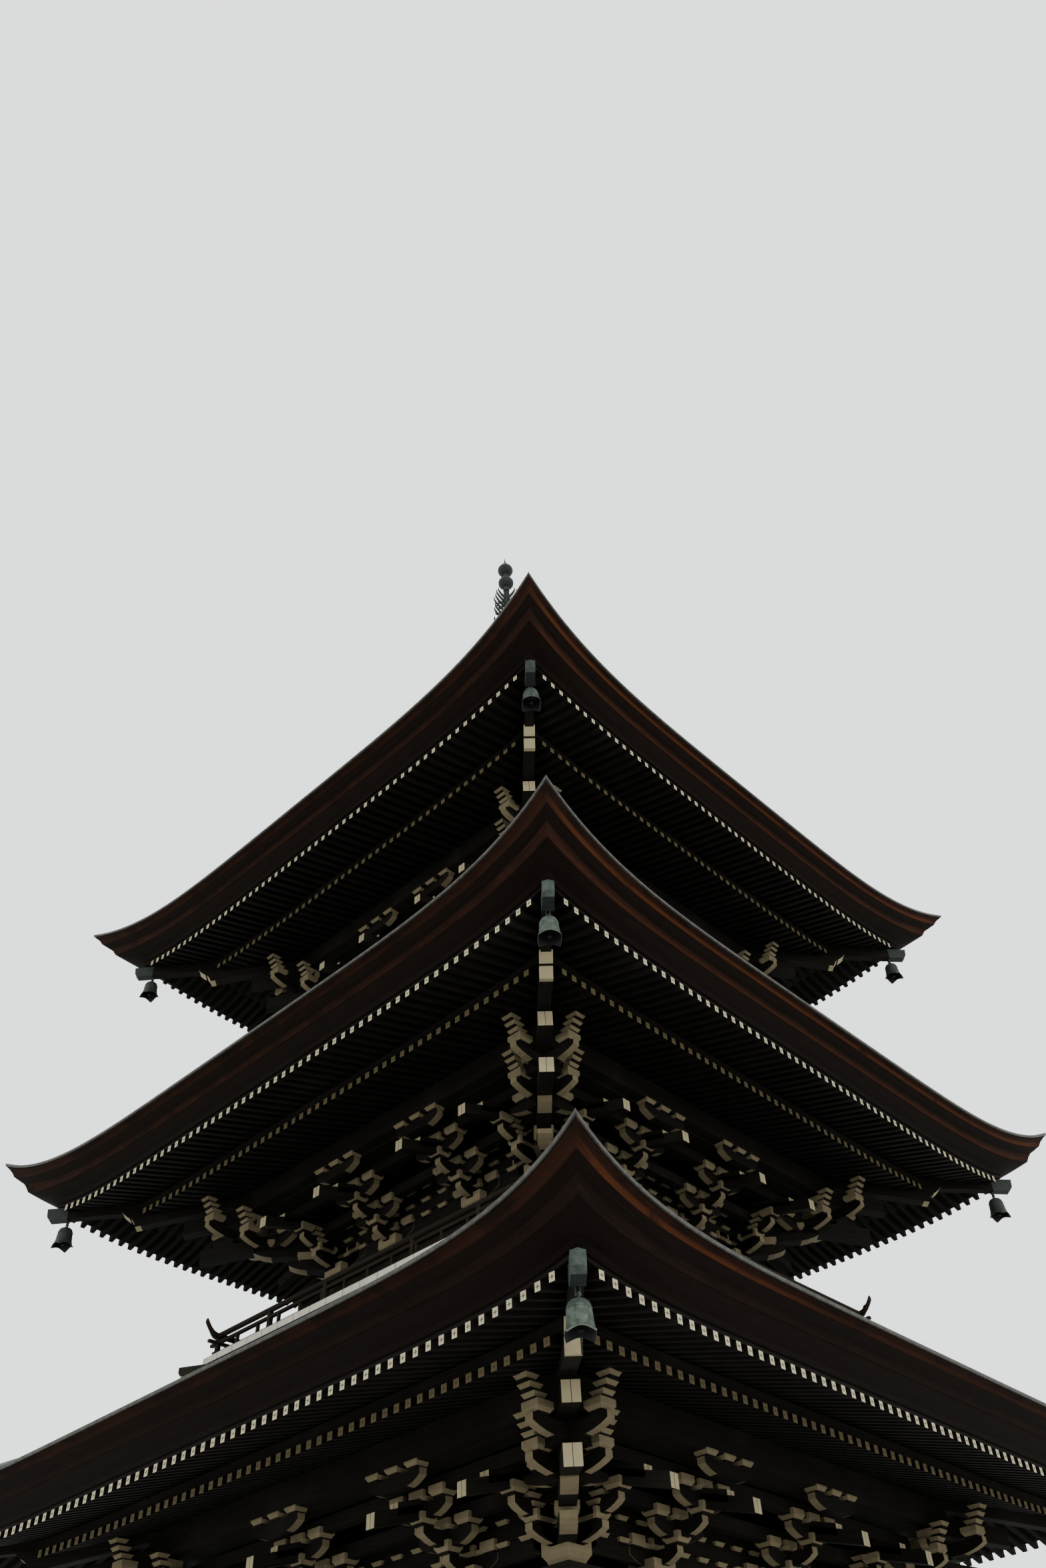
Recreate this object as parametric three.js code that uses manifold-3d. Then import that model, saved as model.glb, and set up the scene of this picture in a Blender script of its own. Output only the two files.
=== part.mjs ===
// Three-storeyed timber pagoda on a stone platform, millimetres, +Z up.
// The origin is the middle of the platform's foot, on the ground. -Y is the front.
// Each storey is 14, 12 or 10 rafter pitches from the centre to its wall, and the same bracket set,
// double eave, layered eave edge and copper roof repeat on it. A bronze wind bell hangs at each eave corner.

import * as THREE from "three";
import { mergeVertices } from "three/addons/utils/BufferGeometryUtils.js";
import Module from "manifold-3d";

const wasm = await Module();
wasm.setup();

// Driving dimensions
const PITCH = 135; // spacing of the rafters, the module of the whole building
const GAP = 0.3; // between pieces that rest on each other along a curve
const SIDES = [0, 1, 2, 3];
const SIDE_NAMES = ["front", "right", "back", "left"];

// Half width at the wall, inner column line, flying rafter height, and the eave's rise towards its corners
const STOREYS = [
  { name: "storey_1", wall: 14, inner: 6, flying: 4893, rise: 103, riseAt: 30.5, power: 7.4, column: 150 },
  { name: "storey_2", wall: 12, inner: 5, flying: 8422, rise: 128, riseAt: 28.5, power: 5.8, column: 135 },
  { name: "storey_3", wall: 10, inner: 4, flying: 11987, rise: 170, riseAt: 26.5, power: 4.0, column: 125 },
];

// Eaves, measured outwards from the wall line
const FLYING_REACH = 18.25 * PITCH;
const BASE_REACH = 13.4 * PITCH;
const TAIL_REACH = 8.7 * PITCH;
const BASE_SLOPE = 0.28;
const FLYING_SLOPE = 0.27;
const BASE_OVER_FLYING = 12;
const RAFTER_BELOW = 43; // from a rafter's centre line down to its underside
const RAFTER_ABOVE = 68; // and up to the top of the boards that it carries
const RAFTER_INNER = 400; // how far the base rafters run in behind the wall line
const KIOI = [70, 10]; // the beam on the base rafter ends, inwards from their tips

// Bracket sets, in steps of about 2.2 pitches out and layers of arm and block upwards
const STEP = 300;
const LAYER = 165;
const ARM = 326; // half length of an arm
const ARM_WIDE = 105;
const ARM_CUT = 100; // length of the slanting cut under an arm's end
const ARM_UNDER_FLYING = 693; // the lowest arms lie this far below the flying rafters
const BLOCK_WIDE = 290;
const BLOCK_HIGH = 130;
const PURLIN_HALF = 65;
const WALL_HALF = 45;
const TAIL_HIGH = 115;
const TAIL_OVER_ARM = 235; // a tail rafter's tip above the foot of the lowest arms
const UPPER_TAIL_OVER_ARM = 545;
const TAIL_SLOPE = 0.27;
const SEAT_HALF = 60;
const CEILING_THICK = 25;

// Columns and walls
const PLATE_HIGH = 60;
const PLATE_HALF = 160;
const PANEL_HALF = 40;
const NAGESHI_PROUD = 30; // how far the long tie boards stand out past the columns
const SHOULDER = 100; // wall left between a column and an opening

// Stone platform and steps
const PLATFORM_HALF = 3000;
const PLATFORM_HIGH = 900;
const COPING = 140;
const COPING_PROUD = 60;
const BASE_STONE = 60;
const STEP_COUNT = 5;
const STEP_TREAD = 290;
const STEPS_WIDE = 1600;

// Ground storey wall: foot tie, window sill, head of openings
const FOOT_TIE = 180;
const SILL = 920;
const HEAD = [2080, 2230];
const DOOR_THICK = 60;

// Upper storeys: heights above the balcony floor, which lies above the flying rafters of the storey below
const DECK_OVER_FLYING = 1907;
const DECK_HIGH = 70;
const DECK_PROUD = 1040;
const RAIL_PROUD = 940;
const RAIL_TIP = 180;
const RAIL_THICK = 50;
const RAIL_LOW = 60;
const RAIL_MIDDLE = [150, 180];
const RAIL_TOP = 270;
const UPPER_SILL = 90;
const UPPER_HEAD = 500;

// Eave edge in two stepped tiers, and roof: distance out from the flying rafters' tips, height over them,
// and the share of the corner sweep
const SWEEP = 157; // the edge leans out this much further at the corners
const SWEEP_POWER = 5;
const EDGE_TOP = 385;
const EDGE_INNER = -60;
const EDGE_OUT = 375;
const EAVE_EDGE = [
  [EDGE_INNER, RAFTER_ABOVE + GAP - EDGE_INNER * FLYING_SLOPE, 0],
  [0, RAFTER_ABOVE + GAP, 0],
  [25, RAFTER_ABOVE + GAP, 0],
  [45, 100, 0.1],
  [149, 151, 0.8],
  [190, 247, 0.85],
  [283, 298, 0.93],
  [347, 372, 1],
  [EDGE_OUT, EDGE_TOP, 1],
  [EDGE_INNER, EDGE_TOP, 0],
];
const DRIP_OUT = 390;
const DRIP_TOP = 403;
const SHEET_UNDER = 70;
const ROOF_ROWS = [0.2, 0.45, 0.7, 1];
const RIM = 60;
const RIDGE_WIDE = 190;
const RIDGE_HIGH = 130;
const ROOF_FOOT_UNDER_DECK = 320; // the lower roofs end this far under the deck's top
const ROOF_TOP_REACH = 640; // and this far outside the wall of the storey above
const TOP_ROOF_HEIGHT = 15000;
const TOP_ROOF_HALF = 300;

// Hip rafters, on the diagonals
const HIP_WIDE = 118;
const HIP_HIGH = 190;
const LOWER_HIP_WIDE = 130;
const LOWER_HIP_NOSE = [85, 78]; // beyond the base rafter tips and over their middle
const LOWER_HIP_FOOT = [-50, -108]; // where its slanting end starts
const LOWER_HIP_SEAT = [-60, 83]; // where the heel of the upper one rests on it
const LOWER_HIP_HIGH = 165;
const UPPER_HIP_REACH = 65;
const UPPER_HIP_DROP = -23;
const UPPER_HIP_SLOPE = 0.087;
const DIAGONAL_TAIL_WIDE = 144;

// Wind bell, hung below the tip of the upper hip rafter
const BELL_INSET = 120;
const PIN_DROP = 45;
const PIN = 6;
const EYE_HOLE = (PIN + GAP) / Math.cos(Math.PI / 6);
const EYE = 22;
const EYE_THICK = 14;
const LUG = [14, 22];
const STEM = 12;
const BELL_TOP = -32;
const BELL_LIP = -272;
const BELL_RADIUS = 112;

// Finial
const FACETS = 8; // of the turned pieces
const FINIAL_TOP = 22246;
const BASIN_HIGH = 420;
const BASIN_HALF = 330;
const BOWL_HIGH = 270;
const LOTUS_HIGH = 180;
const SHAFT = 52;
const SHAFT_TAPER = 0.8;
const RING_COUNT = 9;
const RING_FIRST = 16260;
const RING_SPACING = 420;
const RING_RADII = [400, 290];
const FLAME = [20080, 21160];
const CLASP_HIGH = 60;
const CLASP_THICK = 22;
const LOWER_BALL = 21423;
const JEWEL = 21854;
const BALL = 133;

// Heights and reaches that follow from the sizes above
STOREYS.forEach((s, i) => {
  s.wall *= PITCH;
  s.inner *= PITCH;
  s.riseAt *= PITCH;
  s.flyingReach = s.wall + FLYING_REACH;
  s.baseReach = s.wall + BASE_REACH;
  s.purlin = s.wall + 3 * STEP + PURLIN_HALF;
  s.base = s.flying + BASE_OVER_FLYING;
  s.arm = s.flying - ARM_UNDER_FLYING;
  s.plate = s.arm - BLOCK_HIGH - PLATE_HIGH;
  s.floor = i ? STOREYS[i - 1].flying + DECK_OVER_FLYING : PLATFORM_HIGH;
});

function finish(name, color, roughness, metalness) {
  return new THREE.MeshStandardMaterial({ name, color, roughness, metalness });
}

const timber = (name, color) => finish(name, color, 0.8, 0);
const metal = (name, color) => finish(name, color, 0.55, 0.5);
const STONE = finish("stone", 0x8f8c84, 0.95, 0);
const DARK_TIMBER = timber("dark_timber", 0x3b342a);
const WALL_TIMBER = timber("wall_timber", 0x4a4032);
const PAINTED_TIMBER = timber("painted_timber", 0x8c8468);
const RAFTER_TIMBER = timber("rafter_timber", 0x463e2f);
const SHINGLE = timber("shingle_edge", 0x5a2d1c);
const COPPER = metal("copper_sheet", 0x5c6f66);
const BRONZE = metal("bronze", 0x4e7a6c);

// A closed geometry as a solid that can be joined and cut
function solid(geometry) {
  const bare = geometry.clone();
  bare.deleteAttribute("normal");
  bare.deleteAttribute("uv");
  const merged = mergeVertices(bare, 1e-3);
  const vertProperties = merged.attributes.position.array;
  const triVerts = new Uint32Array(merged.index.array);
  return new wasm.Manifold(new wasm.Mesh({ numProp: 3, vertProperties, triVerts }));
}

function join(solids) {
  return solids.reduce((whole, piece) => whole.add(piece));
}

function mesh(name, body, material) {
  const { vertProperties, triVerts } = body.asOriginal().simplify(0.001).getMesh();
  const geometry = new THREE.BufferGeometry();
  geometry.setAttribute("position", new THREE.BufferAttribute(vertProperties, 3));
  geometry.setIndex(new THREE.BufferAttribute(triVerts, 1));
  const made = new THREE.Mesh(geometry, material);
  made.name = name;
  return made;
}

// A box from its lowest to its highest corner
function box(x0, x1, y0, y1, z0, z1) {
  const geometry = new THREE.BoxGeometry(x1 - x0, y1 - y0, z1 - z0);
  return geometry.translate((x0 + x1) / 2, (y0 + y1) / 2, (z0 + z1) / 2);
}

// Turned about the building's axis: 1 takes the front side to the right side
function turned(geometry, quarters) {
  return geometry.clone().rotateZ((quarters * Math.PI) / 2);
}

// The same piece on all four sides
function onSides(geometry) {
  return SIDES.map((side) => solid(turned(geometry, side)));
}

// The same piece on all four diagonals, drawn along +X from the axis
function onCorners(geometry) {
  return SIDES.map((side) => solid(turned(geometry, side - 0.5)));
}

// An outline in the plane of x (or distance outwards) and z, given a thickness across it
function plate(points, thick) {
  const shape = new THREE.Shape(points.map(([x, z]) => new THREE.Vector2(x, z)));
  const geometry = new THREE.ExtrudeGeometry(shape, { depth: thick, bevelEnabled: false });
  return geometry.translate(0, 0, -thick / 2).rotateX(Math.PI / 2);
}

function rect(d0, d1, z0, z1) {
  return [
    [d0, z0],
    [d1, z0],
    [d1, z1],
    [d0, z1],
  ];
}

// Where the curved bands are divided along a side, from one diagonal to the other
const HALF_SIDE = [0.6, 0.84, 1];
const CURVED = [...HALF_SIDE.map((u) => -u).reverse(), ...HALF_SIDE];
const STRAIGHT = [-1, 1];
const UP = new THREE.Vector3(0, 0, 1);

// A band carried round the four sides and mitred on the diagonals. profile(u) gives its outline as
// points of distance outwards and height, u being -1 and 1 at the ends of a side.
function band(profile, along = STRAIGHT) {
  const columns = SIDES.flatMap((side) => along.slice(0, -1).map((u) => ({ side, u })));
  const order = profile(0).map(([d]) => d);
  const size = order.length;
  const positions = columns.flatMap(({ side, u }) =>
    profile(u).flatMap(([d, z]) => {
      const at = new THREE.Vector3(u * d, -d, z).applyAxisAngle(UP, (side * Math.PI) / 2);
      return [at.x, at.y, at.z];
    }),
  );
  const triangles = [];
  columns.forEach((_, column) => {
    const next = (column + 1) % columns.length;
    for (let k = 0; k < size; k++) {
      const up = (k + 1) % size;
      const [a, b] = [column * size + k, next * size + k];
      const [c, e] = [next * size + up, column * size + up];
      // The diagonal runs from the inner to the outer edge, so that bands which touch are cut alike
      if (order[k] <= order[up]) triangles.push(a, b, c, a, c, e);
      else triangles.push(a, b, e, b, c, e);
    }
  });
  const geometry = new THREE.BufferGeometry();
  geometry.setAttribute("position", new THREE.Float32BufferAttribute(positions, 3));
  geometry.setIndex(triangles);
  return geometry;
}

function ring(d0, d1, z0, z1) {
  return solid(band(() => rect(d0, d1, z0, z1)));
}

// How far the eaves rise at a place x along the side
function rise(s, x) {
  return s.rise * (Math.abs(x) / s.riseAt) ** s.power;
}

// The share of that rise a piece takes, from none at the purlin to all at the base rafters' tips
function share(s, d) {
  return THREE.MathUtils.clamp((d - s.purlin) / (s.baseReach - s.purlin), 0, 1);
}

function lifted(s, u, points) {
  return points.map(([d, z]) => [d, z + rise(s, u * d) * share(s, d)]);
}

const baseLine = (s, d) => s.base + (s.baseReach - d) * BASE_SLOPE;
const flyingLine = (s, d) => s.flying + (s.flyingReach - d) * FLYING_SLOPE;

// The close row of base rafters with its boards, from behind the wall to the rafter tips
function baseRafters(s) {
  const under = [s.wall - RAFTER_INNER, s.purlin, s.baseReach];
  const over = [s.baseReach, s.baseReach - KIOI[1], s.baseReach - KIOI[0], s.purlin, s.wall - RAFTER_INNER];
  const outline = [
    ...under.map((d) => [d, baseLine(s, d) - RAFTER_BELOW]),
    ...over.map((d) => [d, baseLine(s, d) + RAFTER_ABOVE]),
  ];
  return solid(band((u) => lifted(s, u, outline), CURVED)).subtract(hipRafters(s, GAP));
}

// The flying rafters with their boards, on the beam that lies along the base rafter tips
function flyingRafters(s) {
  const under = [s.baseReach - KIOI[0], s.baseReach - KIOI[1], s.flyingReach];
  const over = [s.flyingReach, s.flyingReach + EDGE_INNER, s.baseReach - KIOI[0]];
  const outline = [
    ...under.map((d) => [d, flyingLine(s, d) - RAFTER_BELOW]),
    ...over.map((d) => [d, flyingLine(s, d) + RAFTER_ABOVE]),
  ];
  return solid(band((u) => lifted(s, u, outline), CURVED)).subtract(hipRafters(s, GAP));
}

// The lower and upper hip rafters on the four diagonals, grown by a clearance where they cut others
function hipRafters(s, clearance = 0) {
  const root2 = Math.SQRT2;
  const c = clearance;
  const nose = [s.baseReach + LOWER_HIP_NOSE[0], s.base + LOWER_HIP_NOSE[1]];
  const foot = [s.baseReach + LOWER_HIP_FOOT[0], s.base + LOWER_HIP_FOOT[1]];
  const seat = [s.baseReach + LOWER_HIP_SEAT[0], s.base + LOWER_HIP_SEAT[1]];
  const lowerHeel = s.wall - 100;
  const heelFoot = foot[1] + (foot[0] - lowerHeel) * BASE_SLOPE;
  const upperTip = s.flyingReach + UPPER_HIP_REACH;
  const upperHeel = s.baseReach - KIOI[0] - 5;
  const upperFoot = s.flying - UPPER_HIP_DROP;
  const upperHeelFoot = upperFoot + (upperTip - upperHeel) * UPPER_HIP_SLOPE;
  const lower = [
    [lowerHeel * root2 - c, heelFoot - c],
    [foot[0] * root2 + c, foot[1] - c],
    [nose[0] * root2 + c, nose[1] + c],
    [seat[0] * root2, seat[1] + c],
    [lowerHeel * root2 - c, heelFoot + LOWER_HIP_HIGH + c],
  ];
  const upper = [
    [upperHeel * root2 - c, upperHeelFoot - c],
    [upperTip * root2 + c, upperFoot - c],
    [upperTip * root2 + c, upperFoot + HIP_HIGH + c],
    [upperHeel * root2 - c, upperHeelFoot + HIP_HIGH + c],
  ];
  const [lowerWide, upperWide] = [LOWER_HIP_WIDE + 2 * c, HIP_WIDE + 2 * c];
  return join([...onCorners(plate(lower, lowerWide)), ...onCorners(plate(upper, upperWide))]);
}

// The hip rafters with the beam that ties them along the base rafter tips, and the bells' staples
function hipFrame(s) {
  const [inner, outer] = KIOI.map((inset) => s.baseReach - inset);
  const outline = [
    [inner, baseLine(s, inner) + RAFTER_ABOVE + GAP],
    [outer, baseLine(s, outer) + RAFTER_ABOVE + GAP],
    [outer, flyingLine(s, outer) - RAFTER_BELOW - GAP],
    [inner, flyingLine(s, inner) - RAFTER_BELOW - GAP],
  ];
  const beam = solid(band((u) => lifted(s, u, outline), CURVED));
  return join([hipRafters(s), beam, ...onCorners(staple(s))]);
}

// Two lugs and a pin under the tip of each upper hip rafter
function staple(s) {
  const at = (s.flyingReach - BELL_INSET) * Math.SQRT2;
  const pinHeight = s.flying - UPPER_HIP_DROP - PIN_DROP;
  const top = pinHeight + PIN_DROP + (UPPER_HIP_REACH + BELL_INSET) * UPPER_HIP_SLOPE;
  const lugs = [-1, 1].map((hand) => {
    const [near, far] = hand > 0 ? LUG : [-LUG[1], -LUG[0]];
    return solid(box(at - 2 * PIN, at + 2 * PIN, near, far, pinHeight - 2 * PIN, top + PIN));
  });
  const pin = new THREE.CylinderGeometry(PIN, PIN, 2 * LUG[1] - 2, 6).translate(at, 0, pinHeight);
  const whole = join([...lugs, solid(pin)]).getMesh();
  const geometry = new THREE.BufferGeometry();
  geometry.setAttribute("position", new THREE.BufferAttribute(whole.vertProperties, 3));
  geometry.setIndex(new THREE.BufferAttribute(whole.triVerts, 1));
  return geometry;
}

// Centre height of a tail rafter whose tip lies at a given reach and height over the lowest arms
const tailLine = (s, tip, over, d) => s.arm + over + (tip - d) * TAIL_SLOPE;

// A bracket set from the side: two projecting arms with slanting end cuts, the tail rafter that slants
// down and out over them, and the seat on it that carries the purlin
function setOutline(s, over) {
  const face = s.wall + WALL_HALF - 1;
  const tip = s.wall + TAIL_REACH;
  const half = TAIL_HIGH / 2;
  const [first, second] = [s.wall + ARM, s.wall + STEP + ARM];
  const seat = [s.purlin - PURLIN_HALF - SEAT_HALF, s.purlin - PURLIN_HALF + SEAT_HALF];
  const seatTop = s.arm + 4 * LAYER;
  const tail = (d, side) => [d, tailLine(s, tip, over, d) + side * half];
  return [
    [face, s.arm],
    [first - ARM_CUT, s.arm],
    [first, s.arm + LAYER],
    [second - ARM_CUT, s.arm + LAYER],
    tail(second, -1),
    tail(tip, -1),
    tail(tip, 1),
    tail(seat[1], 1),
    [seat[1], seatTop],
    [seat[0], seatTop],
    tail(seat[0], 1),
    tail(face, 1),
  ];
}

// The second, longer tail rafter of a corner, over the first
function upperTail(s) {
  const tip = s.wall + TAIL_REACH + PITCH;
  const half = TAIL_HIGH / 2;
  const tail = (d, side) => [d, tailLine(s, tip, UPPER_TAIL_OVER_ARM, d) + side * half];
  return [tail(s.wall, -1), tail(tip, -1), tail(tip, 1), tail(s.wall, 1)];
}

// All the bracket sets of a storey, the beams at the wall, the eave ceiling and the purlin that they carry
function brackets(s) {
  const diagonal = (points) => points.map(([d, z]) => [d * Math.SQRT2, z]);
  const onDiagonal = (points) => onCorners(plate(diagonal(points), DIAGONAL_TAIL_WIDE));
  const outline = plate(setOutline(s, TAIL_OVER_ARM), ARM_WIDE).rotateZ(-Math.PI / 2);
  const lines = [-s.wall, -s.inner, s.inner, s.wall];
  const sets = lines.flatMap((along) => onSides(outline.clone().translate(along, 0, 0)));
  const blocks = [-s.wall, -s.inner, s.inner].flatMap((along) => onSides(bigBlock(s, along)));
  const [wallIn, wallOut] = [s.wall - WALL_HALF, s.wall + WALL_HALF];
  const purlinIn = s.purlin - 2 * PURLIN_HALF;
  const ceiling = s.arm + 4 * LAYER;
  const underRafters = (d) => [d, baseLine(s, d) - RAFTER_BELOW - GAP];
  const beams = band(() => [
    [wallIn, s.arm],
    [wallOut, s.arm],
    [wallOut, ceiling],
    [s.purlin, ceiling],
    underRafters(s.purlin),
    underRafters(purlinIn),
    [purlinIn, ceiling + CEILING_THICK],
    [wallOut, ceiling + CEILING_THICK],
    underRafters(wallOut),
    underRafters(wallIn),
  ]);
  const corners = [...onDiagonal(setOutline(s, TAIL_OVER_ARM - 30)), ...onDiagonal(upperTail(s))];
  return join([solid(beams), ...blocks, ...sets, ...corners]).subtract(hipRafters(s, GAP));
}

// The big bearing block on the plate over a column
function bigBlock(s, along) {
  const half = BLOCK_WIDE / 2;
  return box(along - half, along + half, -s.wall - half, -s.wall + half, s.arm - BLOCK_HIGH, s.arm);
}

// Kayaoi beam, stepped board and the thick slanting edge of layered shingles above the flying rafters
function eaveEdge(s) {
  const profile = (u) => {
    const sweep = SWEEP * Math.abs(u) ** SWEEP_POWER;
    return EAVE_EDGE.map(([out, up, part]) => {
      const d = s.flyingReach + out + part * sweep;
      return [d, s.flying + up + rise(s, u * d)];
    });
  };
  return solid(band(profile, CURVED)).subtract(hipRafters(s, GAP));
}

// Height of the roof's surface over the eave, v running from the eave to the top of the slope
function roofSurface(s, v, u) {
  const eave = s.flyingReach + DRIP_OUT + SWEEP * Math.abs(u) ** SWEEP_POWER;
  const climb = s.roofHeight - s.flying - DRIP_TOP;
  const curve = s.roofStart * v + (1 - s.roofStart) * v * v;
  const d = eave + (s.roofHalf - eave) * v;
  const height = s.flying + DRIP_TOP + climb * curve + rise(s, u * eave) * (1 - v) ** 1.6;
  return [d, height];
}

// The copper-covered roof slab, thin at its drip edge, with a ridge on each hip
function roof(s) {
  const profile = (u) => {
    const sweep = SWEEP * Math.abs(u) ** SWEEP_POWER;
    const edge = [
      [s.flyingReach + EDGE_INNER, 0],
      [s.flyingReach + EDGE_OUT, sweep],
      [s.flyingReach + DRIP_OUT, sweep],
    ].map(([d, out]) => [d + out, s.flying + EDGE_TOP + GAP + rise(s, u * (d + out))]);
    const rows = ROOF_ROWS.map((v) => roofSurface(s, v, u));
    const under = rows.slice(1, -1).map(([d, z]) => [d, z - SHEET_UNDER]);
    return [
      [s.roofHalf - RIM, s.roofHeight - SHEET_UNDER],
      [s.roofHalf, s.roofHeight - SHEET_UNDER],
      ...under.reverse(),
      ...edge,
      roofSurface(s, 0, u),
      ...rows,
      [s.roofHalf - RIM, s.roofHeight],
    ];
  };
  const shell = solid(band(profile, CURVED));
  return join([shell, ...onCorners(hipRidge(s))]);
}

// A ridge that follows the hip from above the upturned corner to the top, sunk into the slab
function hipRidge(s) {
  const rows = ROOF_ROWS.map((v) => roofSurface(s, v, 1));
  const top = rows.map(([d, z]) => [d * Math.SQRT2, z + RIDGE_HIGH]);
  const foot = rows.map(([d, z]) => [d * Math.SQRT2, z - SHEET_UNDER / 2]);
  top[top.length - 1][1] = s.roofHeight;
  top[top.length - 2][1] = Math.min(top[top.length - 2][1], s.roofHeight - GAP);
  return plate([...foot.reverse(), ...top], RIDGE_WIDE);
}

// Where the columns stand along the front side; the fourth of each side is the next side's first
const columnPlaces = (s) => [-s.wall, -s.inner, s.inner];

// The twelve columns, eight-sided here, and the flat plate on top of them
function frame(s) {
  const foot = s.floor + (s === STOREYS[0] ? BASE_STONE : 0);
  const column = new THREE.CylinderGeometry(s.column, s.column, s.plate - foot, 8);
  column.rotateX(Math.PI / 2).rotateZ(Math.PI / 8);
  column.translate(0, -s.wall, (foot + s.plate) / 2);
  const columns = columnPlaces(s).flatMap((along) => onSides(column.clone().translate(along, 0, 0)));
  return join([ring(s.wall - PLATE_HALF, s.wall + PLATE_HALF, s.plate, s.plate + PLATE_HIGH), ...columns]);
}

// Half the width across a column's flats
const columnFlat = (s) => s.column * Math.cos(Math.PI / 8);

// Board walls between the columns, with a window in each side bay
function boards(s, sill, head) {
  const near = s.inner + s.column + SHOULDER;
  const far = s.wall - s.column - SHOULDER;
  const through = PANEL_HALF + 1;
  const [low, high] = [s.floor + sill, s.floor + head];
  const window = ([x0, x1]) => box(x0, x1, -s.wall - through, -s.wall + through, low, high);
  const whole = ring(s.wall - PANEL_HALF, s.wall + PANEL_HALF, s.floor, s.plate);
  return whole.subtract(join([[near, far], [-far, -near]].flatMap((bay) => onSides(window(bay)))));
}

// A long tie board round the walls, standing out past the columns
function tie(s, low, high) {
  const outer = s.wall + columnFlat(s) + NAGESHI_PROUD;
  return ring(s.wall + PANEL_HALF, outer, s.floor + low, s.floor + high);
}

// The room that the columns take up in a wall
function columnSeats(s) {
  const flat = columnFlat(s) + GAP;
  const seat = (along) =>
    box(along - flat, along + flat, -s.wall - flat, -s.wall + flat, s.floor - 1, s.plate + 1);
  return join(columnPlaces(s).flatMap((along) => onSides(seat(along))));
}

// Half the width of the doorway in the middle bay
const doorHalf = (s) => s.inner - s.column - SHOULDER;

// Ground storey walls, with a doorway through the middle bay of each side
function groundWalls(s) {
  const half = doorHalf(s);
  const inner = -s.wall + PANEL_HALF + 1;
  const doorway = box(-half, half, -s.wall - PANEL_HALF, inner, s.floor + FOOT_TIE, s.floor + HEAD[0]);
  const panels = boards(s, SILL, HEAD[0]).subtract(join(onSides(doorway)));
  return join([panels, tie(s, 0, FOOT_TIE), tie(s, ...HEAD)]).subtract(columnSeats(s));
}

// Upper storey walls: their closed doors are boards that stand back from the face of the middle bay
function upperWalls(s) {
  const half = doorHalf(s);
  const [low, high] = [s.floor + UPPER_SILL, s.floor + UPPER_HEAD];
  const recess = box(-half, half, -s.wall - PANEL_HALF - 1, -s.wall, low, high);
  const panels = boards(s, UPPER_SILL, UPPER_HEAD).subtract(join(onSides(recess)));
  return join([panels, tie(s, 0, UPPER_SILL)]).subtract(columnSeats(s));
}

// A closed pair of door leaves, with the slot where they meet
function doorLeaves(s) {
  const half = doorHalf(s) - GAP;
  const low = s.floor + FOOT_TIE + GAP;
  const high = s.floor + HEAD[0] - GAP;
  const leaves = solid(box(-half, half, -DOOR_THICK / 2, DOOR_THICK / 2, low, high));
  const slot = solid(box(-4, 4, -DOOR_THICK, -DOOR_THICK / 4, low - 1, high + 1));
  return leaves.subtract(slot);
}

// Solid stone platform with a plinth and a projecting coping, and a stone under each column
function platform(s) {
  const slab = (half, z0, z1) => solid(box(-half, half, -half, half, z0, z1));
  const flat = columnFlat(s);
  const top = PLATFORM_HIGH + BASE_STONE;
  const stone = (along) =>
    box(along - flat, along + flat, -s.wall - flat, -s.wall + flat, PLATFORM_HIGH, top);
  const stones = columnPlaces(s).flatMap((along) => onSides(stone(along)));
  return join([
    slab(PLATFORM_HALF, 0, COPING),
    slab(PLATFORM_HALF - COPING_PROUD, 0, PLATFORM_HIGH),
    slab(PLATFORM_HALF, PLATFORM_HIGH - COPING, PLATFORM_HIGH),
    ...stones,
  ]);
}

// A flight of stone steps against one side, its treads running outwards and down
function flight() {
  const riser = PLATFORM_HIGH / (STEP_COUNT + 1);
  const start = PLATFORM_HALF + GAP;
  const points = [[start, 0]];
  for (let step = 0; step < STEP_COUNT; step++) {
    const out = start + (STEP_COUNT - step) * STEP_TREAD;
    points.push([out, step * riser], [out, (step + 1) * riser]);
  }
  points.push([start, STEP_COUNT * riser]);
  return solid(plate(points, STEPS_WIDE).rotateZ(-Math.PI / 2));
}

// Balcony floor with its edge beams, corner beams and the two rings of framing that carry it
function balcony(s, below) {
  const under = s.floor - DECK_HIGH;
  const edge = s.wall + DECK_PROUD;
  const inner = s.wall - PANEL_HALF * 2;
  const outer = s.wall + PANEL_HALF * 2;
  const seat = (d) => baseLine(below, d) + RAFTER_ABOVE + GAP;
  const base = solid(
    band(() => [
      [inner, seat(inner)],
      [outer, seat(outer)],
      [outer, under],
      [inner, under],
    ]),
  );
  const beam = [
    [s.wall * Math.SQRT2, under - 130],
    [(edge + 170) * Math.SQRT2, under - 130],
    [(edge + 170) * Math.SQRT2, under - 30],
    [edge * Math.SQRT2, under],
    [s.wall * Math.SQRT2, under],
  ];
  return join([
    solid(box(-edge, edge, -edge, edge, under, s.floor)),
    ring(edge - 130, edge - 30, under - 70, under),
    ring(below.roofHalf - RIM, below.roofHalf, below.roofHeight, under),
    base,
    ...onCorners(plate(beam, HIP_WIDE)),
  ]);
}

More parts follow.
